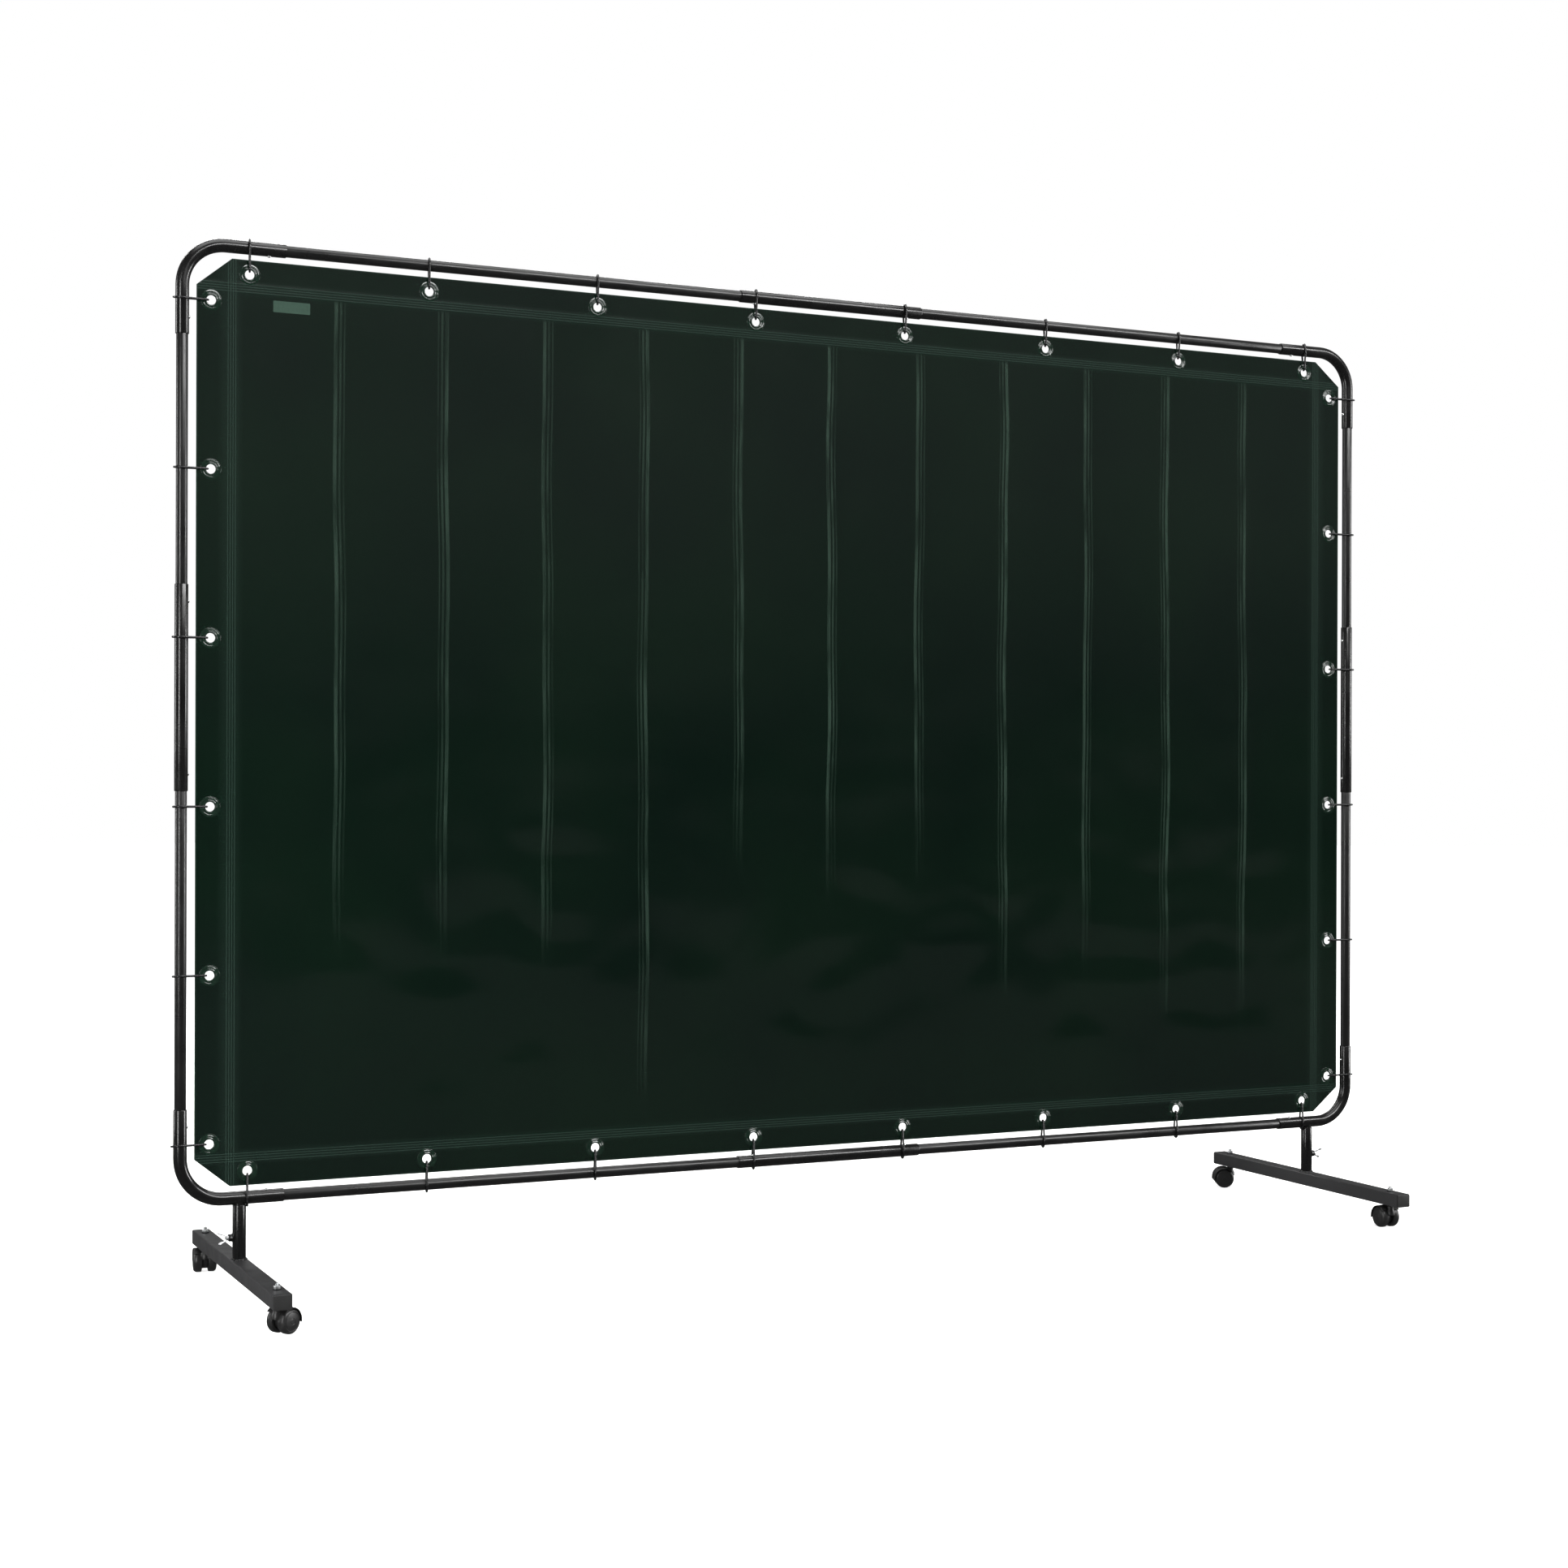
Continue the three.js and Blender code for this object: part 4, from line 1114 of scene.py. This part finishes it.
def roundedBar(width, height, corner, length, wall=0.0):
    # a bar of rounded rectangular section along Y from 0, hollow if it has a wall
    bm = bmesh.new()
    bmesh.ops.create_grid(bm, x_segments=1, y_segments=1, size=0.5)
    bmesh.ops.scale(bm, vec=(width * mm, height * mm, 1), verts=bm.verts)
    bmesh.ops.bevel(
        bm, geom=bm.verts[:], offset=corner * mm, offset_type="OFFSET", segments=5, profile=0.5,
        affect="VERTICES", material=-1, clamp_overlap=True,
    )
    if wall:
        bmesh.ops.inset_region(
            bm, faces=bm.faces[:], thickness=wall * mm, use_even_offset=True, use_boundary=True
        )
        middle = min(bm.faces, key=lambda f: f.calc_center_median().length)
        bmesh.ops.delete(bm, geom=[middle], context="FACES")
    made = bmesh.ops.extrude_face_region(bm, geom=bm.faces[:])["geom"]
    moved = [g for g in made if isinstance(g, bmesh.types.BMVert)]
    bmesh.ops.translate(bm, vec=(0, 0, length * mm), verts=moved)
    bmesh.ops.recalc_face_normals(bm, faces=bm.faces)
    return turned(bm, Matrix.Rotation(math.radians(-90), 4, "X"))


def hexNut(across, low, high):
    # a chamfered hexagon nut along Z
    radius = across / 2 / math.cos(math.pi / 6)
    bm = bmesh.new()
    bmesh.ops.create_cone(
        bm, cap_ends=True, segments=6, radius1=radius * mm, radius2=radius * mm,
        depth=(high - low) * mm, matrix=Matrix.Translation((0, 0, (low + high) / 2 * mm)),
    )
    softenEdges(bm, 0.45, 2)
    return bm


def makeBeam(side):
    w = beamWork
    low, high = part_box(f"foot_beam_{side}")
    width, height, length = [(high[i] - low[i]) / mm for i in (0, 2, 1)]
    middle = (low + high) / 2
    body = f"foot_{side}"
    inner = length - 2 * w["plugFlange"]
    bar = roundedBar(width, height, w["corner"], inner, w["wall"])
    start = Vector((middle.x, low.y + w["plugFlange"] * mm, middle.z))
    bar = turned(bar, Matrix.Translation(start))
    addPiece(f"beam_{side}", bar, "beam", body, [f"foot_beam_{side}"], 25)
    shy = 2 * w["plugShy"]
    for end, sign in (("near", -1), ("far", 1)):
        flange = roundedBar(width - shy, height - shy, w["corner"], w["plugFlange"])
        softenEdges(flange, 0.8, 3, 60)
        neck = 2 * w["wall"] + w["plugRoom"]
        insert = roundedBar(width - neck, height - neck, 1.0, w["plugReach"])
        insert = turned(insert, Matrix.Translation((0, (w["plugFlange"] - 0.2) * mm, 0)))
        for rib in w["plugRibs"]:
            proud = w["ribProud"]
            ring = roundedBar(width - neck + proud, height - neck + proud, 1.1, 1.0)
            gather(insert, turned(ring, Matrix.Translation((0, rib * mm, 0))))
        plug = gather(flange, insert)
        edge = low.y if sign < 0 else high.y
        turn = Matrix.Rotation(0 if sign < 0 else math.pi, 4, "Z")
        place = Matrix.Translation((middle.x, edge, middle.z)) @ turn
        addPiece(f"end_plug_{side}_{end}", turned(plug, place), "plug", body, (), 30)


def makePost(side, sign):
    # a pipe on the beam, with a lumpy weld round its foot and a nut welded to its outer side
    w = postWork
    low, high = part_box(f"foot_post_{side}")
    floorZ, length = low.z, (high.z - low.z) / mm
    axis = Vector((sign * postX * mm, 0, 0))
    pipe = spun(pipeOutline(socketRadius, tubeWork["socketWall"], length, 0.6), 48)
    r, b = socketRadius, w["bead"]
    bead = [
        (r - 0.3, 0), (r + b, 0), (r + b * 0.93, b * 0.35), (r + b * 0.6, b * 0.72),
        (r + b * 0.2, b), (r - 0.3, b * 1.1),
    ]
    bead = spun(bead, 96)
    for v in bead.verts:
        outward = Vector((v.co.x, v.co.y, 0))
        if outward.length > (r + 0.1) * mm and v.co.z > 0.1 * mm:
            angle = math.atan2(v.co.y, v.co.x)
            swell = w["beadRipple"] * math.cos(w["beadLumps"] * angle) + 0.15 * math.sin(3 * angle)
            v.co += outward.normalized() * swell * mm
            v.co.z += 0.5 * swell * mm
    gather(pipe, bead)
    turned(pipe, Matrix.Translation(axis + Vector((0, 0, floorZ))))
    screw = jointPlace[f"wing_screw_{side}_turn"] * mm
    nutLow = socketRadius - 0.8
    nutHigh = socketRadius + w["nutLength"]
    nut = hexNut(w["nutAcross"], nutLow, nutHigh)
    rim = w["nutRadius"]
    weld = [
        (0, nutLow), (rim + 1.2, nutLow), (rim + 0.9, nutLow + 1.6), (rim - 1, nutLow + 2.6),
        (0, nutLow + 2.6),
    ]
    gather(nut, spun(weld, 32, closed=False))
    gather(pipe, turned(nut, facing((sign, 0, 0), Vector((axis.x, 0, screw.z)))))
    addPiece(f"post_{side}", pipe, "socket", f"foot_{side}", [f"foot_post_{side}"])


wingWork = {
    "shank": 3.0,
    "hub": 4.2,
    "hubLength": 5.0,
    "reach": 12.0,
    "span": 11.0,
    "thick": 2.4,
    "turn": 25,
}


def makeWingScrew(side, sign):
    w = wingWork
    low = socketRadius + postWork["nutLength"] + 0.3
    high = low + w["hubLength"]
    tip = high + w["reach"]
    hub = spun(
        [(0, tubeRadius + 0.3), (w["shank"] - 0.6, tubeRadius + 0.3), (w["shank"], tubeRadius + 0.9),
         (w["shank"], low), (w["hub"], low), (w["hub"], low + 0.8), (w["hub"] * 0.8, high - 0.8),
         (w["hub"] * 0.6, high), (0, high)], 32, closed=False,
    )
    # one wing, drawn from the hub out to its rounded ear
    outline = [
        (1.5, low + 1.6), (w["hub"] * 0.9, low + 1.9), (6.4, low + 5.2), (8.4, tip - 6.4),
        (10.2, tip - 5.2), (w["span"], tip - 3.4), (w["span"] - 0.2, tip - 1.4), (9.6, tip),
        (8.0, tip - 0.2), (6.6, tip - 2.2), (5.2, high + 3.6), (3.4, high + 0.6), (1.5, high - 0.4),
    ]
    for flip in (1, -1):
        wing = bmesh.new()
        half = w["thick"] / 2
        verts = [wing.verts.new((flip * x * mm, -half * mm, z * mm)) for x, z in outline]
        face = wing.faces.new(verts)
        made = bmesh.ops.extrude_face_region(wing, geom=[face])["geom"]
        moved = [g for g in made if isinstance(g, bmesh.types.BMVert)]
        bmesh.ops.translate(wing, vec=(0, 2 * half * mm, 0), verts=moved)
        bmesh.ops.recalc_face_normals(wing, faces=wing.faces)
        softenEdges(wing, 0.7, 3, 60)
        gather(hub, wing)
    screw = jointPlace[f"wing_screw_{side}_turn"] * mm
    outward = Matrix.Rotation(sign * math.radians(90), 4, "Y")
    place = Matrix.Translation((sign * postX * mm, 0, screw.z))
    # the wings start upright and are turned about the screw
    spin = Matrix.Rotation(math.radians(w["turn"]), 4, "Z")
    node = f"wing_screw_{side}"
    screwPiece = turned(hub, place @ outward @ spin)
    addPiece(f"wing_screw_piece_{side}", screwPiece, "zinc", node, [node])


stemWork = {
    "radius": 3.0,
    "collar": 7.0,
    "washer": 6.5,
    "nutAcross": 10,
    "nutTurn": 0.3,
    "threadPitch": 1.0,
}


def makeStem(side, end):
    # stem, collar, washer and nut that hold a castor to the beam
    w = stemWork
    node = f"castor_stem_{side}_{end}"
    low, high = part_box(node)
    beamLow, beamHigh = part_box(f"foot_beam_{side}")
    z0, z1 = low.z / mm, high.z / mm
    under, over = beamLow.z / mm, beamHigh.z / mm
    r, p = w["radius"], w["threadPitch"]
    nutLow, nutHigh = over + 1.5, over + 6.5
    collar = w["collar"]
    outline = [
        (0, z0), (r - 0.4, z0), (r, z0 + 0.4), (r, under - 1.8), (collar - 0.4, under - 1.8),
        (collar, under - 1.4), (collar, under - 0.4), (r, under - 0.3), (r, nutHigh - 0.5),
    ]
    z = nutHigh
    while z < z1 - 1:  # thread crests above the nut
        outline += [(r, z), (r - 0.45, z + p / 2)]
        z += p
    outline += [(r - 0.1, z1 - 0.8), (r - 0.9, z1), (0, z1)]
    place = Matrix.Translation(((low.x + high.x) / 2, (low.y + high.y) / 2, 0))
    body = f"foot_{side}"
    stem = spun(outline, 24, closed=False)
    addPiece(f"stem_{side}_{end}", turned(stem, place), "zinc", body, [node])
    nut = hexNut(w["nutAcross"], nutLow, nutHigh)
    nut = turned(nut, place @ Matrix.Rotation(w["nutTurn"], 4, "Z"))
    addPiece(f"stem_nut_{side}_{end}", nut, "zinc", body)
    edge = w["washer"]
    washer = [
        (r + 0.2, over + 0.3), (edge - 0.2, over + 0.3), (edge, over + 0.5), (edge, over + 1.3),
        (edge - 0.2, over + 1.5), (r + 0.2, over + 1.5),
    ]
    addPiece(f"stem_washer_{side}_{end}", turned(spun(washer, 32), place), "washer", body)


castorWork = {
    "wheelRadius": 20,
    "wheelIn": 5.5,  # inner face of a wheel from the castor's middle
    "wheelOut": 19.5,
    "hoodGap": 0.5,
    "hoodWall": 1.4,
    "hoodSteps": 26,
    "hoodFront": 42,  # degrees, where the hood starts at the leading side
    "hoodSpan": 142,
    "webRadius": 14,
    "webHalf": 5.2,
    "boss": 6.5,
    "stemHole": 3.2,
    "stemDepth": 12,
    "lip": 2.4,
}


def wheelShape(sign):
    # one wheel, turned about Z, from its inner face to its outer face
    w = castorWork
    r, a, b = w["wheelRadius"], w["wheelIn"], w["wheelOut"]
    outline = [
        (0, a), (4.5, a), (5.0, a + 0.8), (r - 6, a + 0.8), (r - 5, a + 0.1), (r - 1.6, a),
        (r - 0.5, a + 0.5), (r, a + 1.8), (r, b - 5.5), (r - 0.25, b - 4.2), (r - 1.1, b - 2.4),
        (r - 2.4, b - 0.9), (r - 3.8, b - 0.2), (r - 4.6, b), (r - 5.0, b - 0.5), (r - 5.6, b - 0.6),
        (r - 6.0, b - 0.1), (r - 7.5, b + 0.25), (5.2, b + 0.8), (4.7, b + 0.5), (4.2, b + 0.55),
        (3.6, b + 0.95), (0, b + 1.0),
    ]
    bm = spun(outline, 64, closed=False)
    if sign < 0:
        turned(bm, Matrix.Rotation(math.pi, 4, "X"))
    return bm


def makeCastor(side, end):
    w = castorWork
    axle = jointPlace[f"wheels_{side}_{end}_roll"]
    stem = jointPlace[f"castor_{side}_{end}_swivel"]
    trail = Vector((axle.x - stem.x, axle.y - stem.y, 0))
    x = trail.normalized()
    z = Vector((0, 0, 1))
    y = z.cross(x)
    axes = Matrix((x, y, z)).transposed().to_4x4()
    atStem = Matrix.Translation(Vector((stem.x, stem.y, 0)) * mm) @ axes
    atAxle = Matrix.Translation(axle * mm) @ axes
    level = Matrix.Rotation(math.radians(-90), 4, "X")  # turns a shape on Z to lie along Y

    wheels = gather(wheelShape(1), wheelShape(-1))
    rod = rodShape(2.5, -w["wheelIn"] - 1, w["wheelIn"] + 1)
    gather(wheels, rod)
    turned(wheels, atAxle @ level)
    wheelNode, housingNode = f"castor_wheels_{side}_{end}", f"castor_housing_{side}_{end}"
    body = f"wheels_{side}_{end}"
    addPiece(f"wheels_piece_{side}_{end}", wheels, "wheel", body, [wheelNode], 30)

    # hood: a strip across the wheels, swept round them, thicker at its rims
    inner = w["wheelRadius"] + w["hoodGap"]
    outer = inner + w["hoodWall"]
    edge = w["wheelOut"]
    section = [
        (inner, -edge), (outer - 0.5, -edge), (outer, 0.6 - edge), (outer + 0.15, -edge / 2),
        (outer + 0.2, 0), (outer + 0.15, edge / 2), (outer, edge - 0.6), (outer - 0.5, edge),
        (inner, edge),
    ]
    hood = bmesh.new()
    start = math.radians(w["hoodFront"])
    cos, sin = math.cos(start), math.sin(start)
    verts = [hood.verts.new((-r * cos * mm, across * mm, r * sin * mm)) for r, across in section]
    face = hood.faces.new(verts)
    hood.normal_update()
    swept = bmesh.ops.spin(
        hood, geom=[face], cent=(0, 0, 0), axis=(0, 1, 0), angle=math.radians(w["hoodSpan"]),
        steps=w["hoodSteps"], use_merge=False, use_duplicate=False,
    )["geom_last"]
    # the trailing end turns out into a small lip
    lastFaces = [g for g in swept if isinstance(g, bmesh.types.BMFace)]
    made = bmesh.ops.extrude_face_region(hood, geom=lastFaces)["geom"]
    lip = [g for g in made if isinstance(g, bmesh.types.BMVert)]
    bmesh.ops.translate(hood, vec=(w["lip"] * 0.3 * mm, 0, -w["lip"] * mm), verts=lip)
    bmesh.ops.delete(hood, geom=lastFaces, context="FACES")
    bmesh.ops.recalc_face_normals(hood, faces=hood.faces)

    web = rodShape(w["webRadius"], -w["webHalf"], w["webHalf"], 40)
    softenEdges(web, 0.6, 2)
    gather(hood, turned(web, level))
    # a spine joins the web to the hood, over the axle
    spine = bmesh.new()
    bmesh.ops.create_cube(spine, size=1.0)
    bmesh.ops.scale(spine, vec=(24 * mm, 2 * w["webHalf"] * mm, 14 * mm), verts=spine.verts)
    bmesh.ops.translate(spine, vec=(0, 0, 13.5 * mm), verts=spine.verts)
    gather(hood, spine)
    turned(hood, atAxle)

    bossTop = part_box(housingNode)[1].z / mm
    r, hole = w["boss"], w["stemHole"]
    holeEnd = bossTop - w["stemDepth"]
    boss = [
        (hole, holeEnd), (hole, bossTop), (r - 0.6, bossTop), (r, bossTop - 0.6), (r, bossTop - 6),
        (r + 1.2, bossTop - 9), (r + 2.4, bossTop - 11), (r + 2.4, holeEnd - 6), (0, holeEnd - 6),
        (0, holeEnd),
    ]
    gather(hood, turned(spun(boss, 40), atStem))
    body = f"castor_{side}_{end}"
    addPiece(f"castor_body_{side}_{end}", hood, "housing", body, [housingNode], 35)


for side, sign in sideSign.items():
    makeBeam(side)
    makePost(side, sign)
    makeWingScrew(side, sign)
    for end in ("near", "far"):
        makeStem(side, end)
        makeCastor(side, end)
    print("foot made:", side)
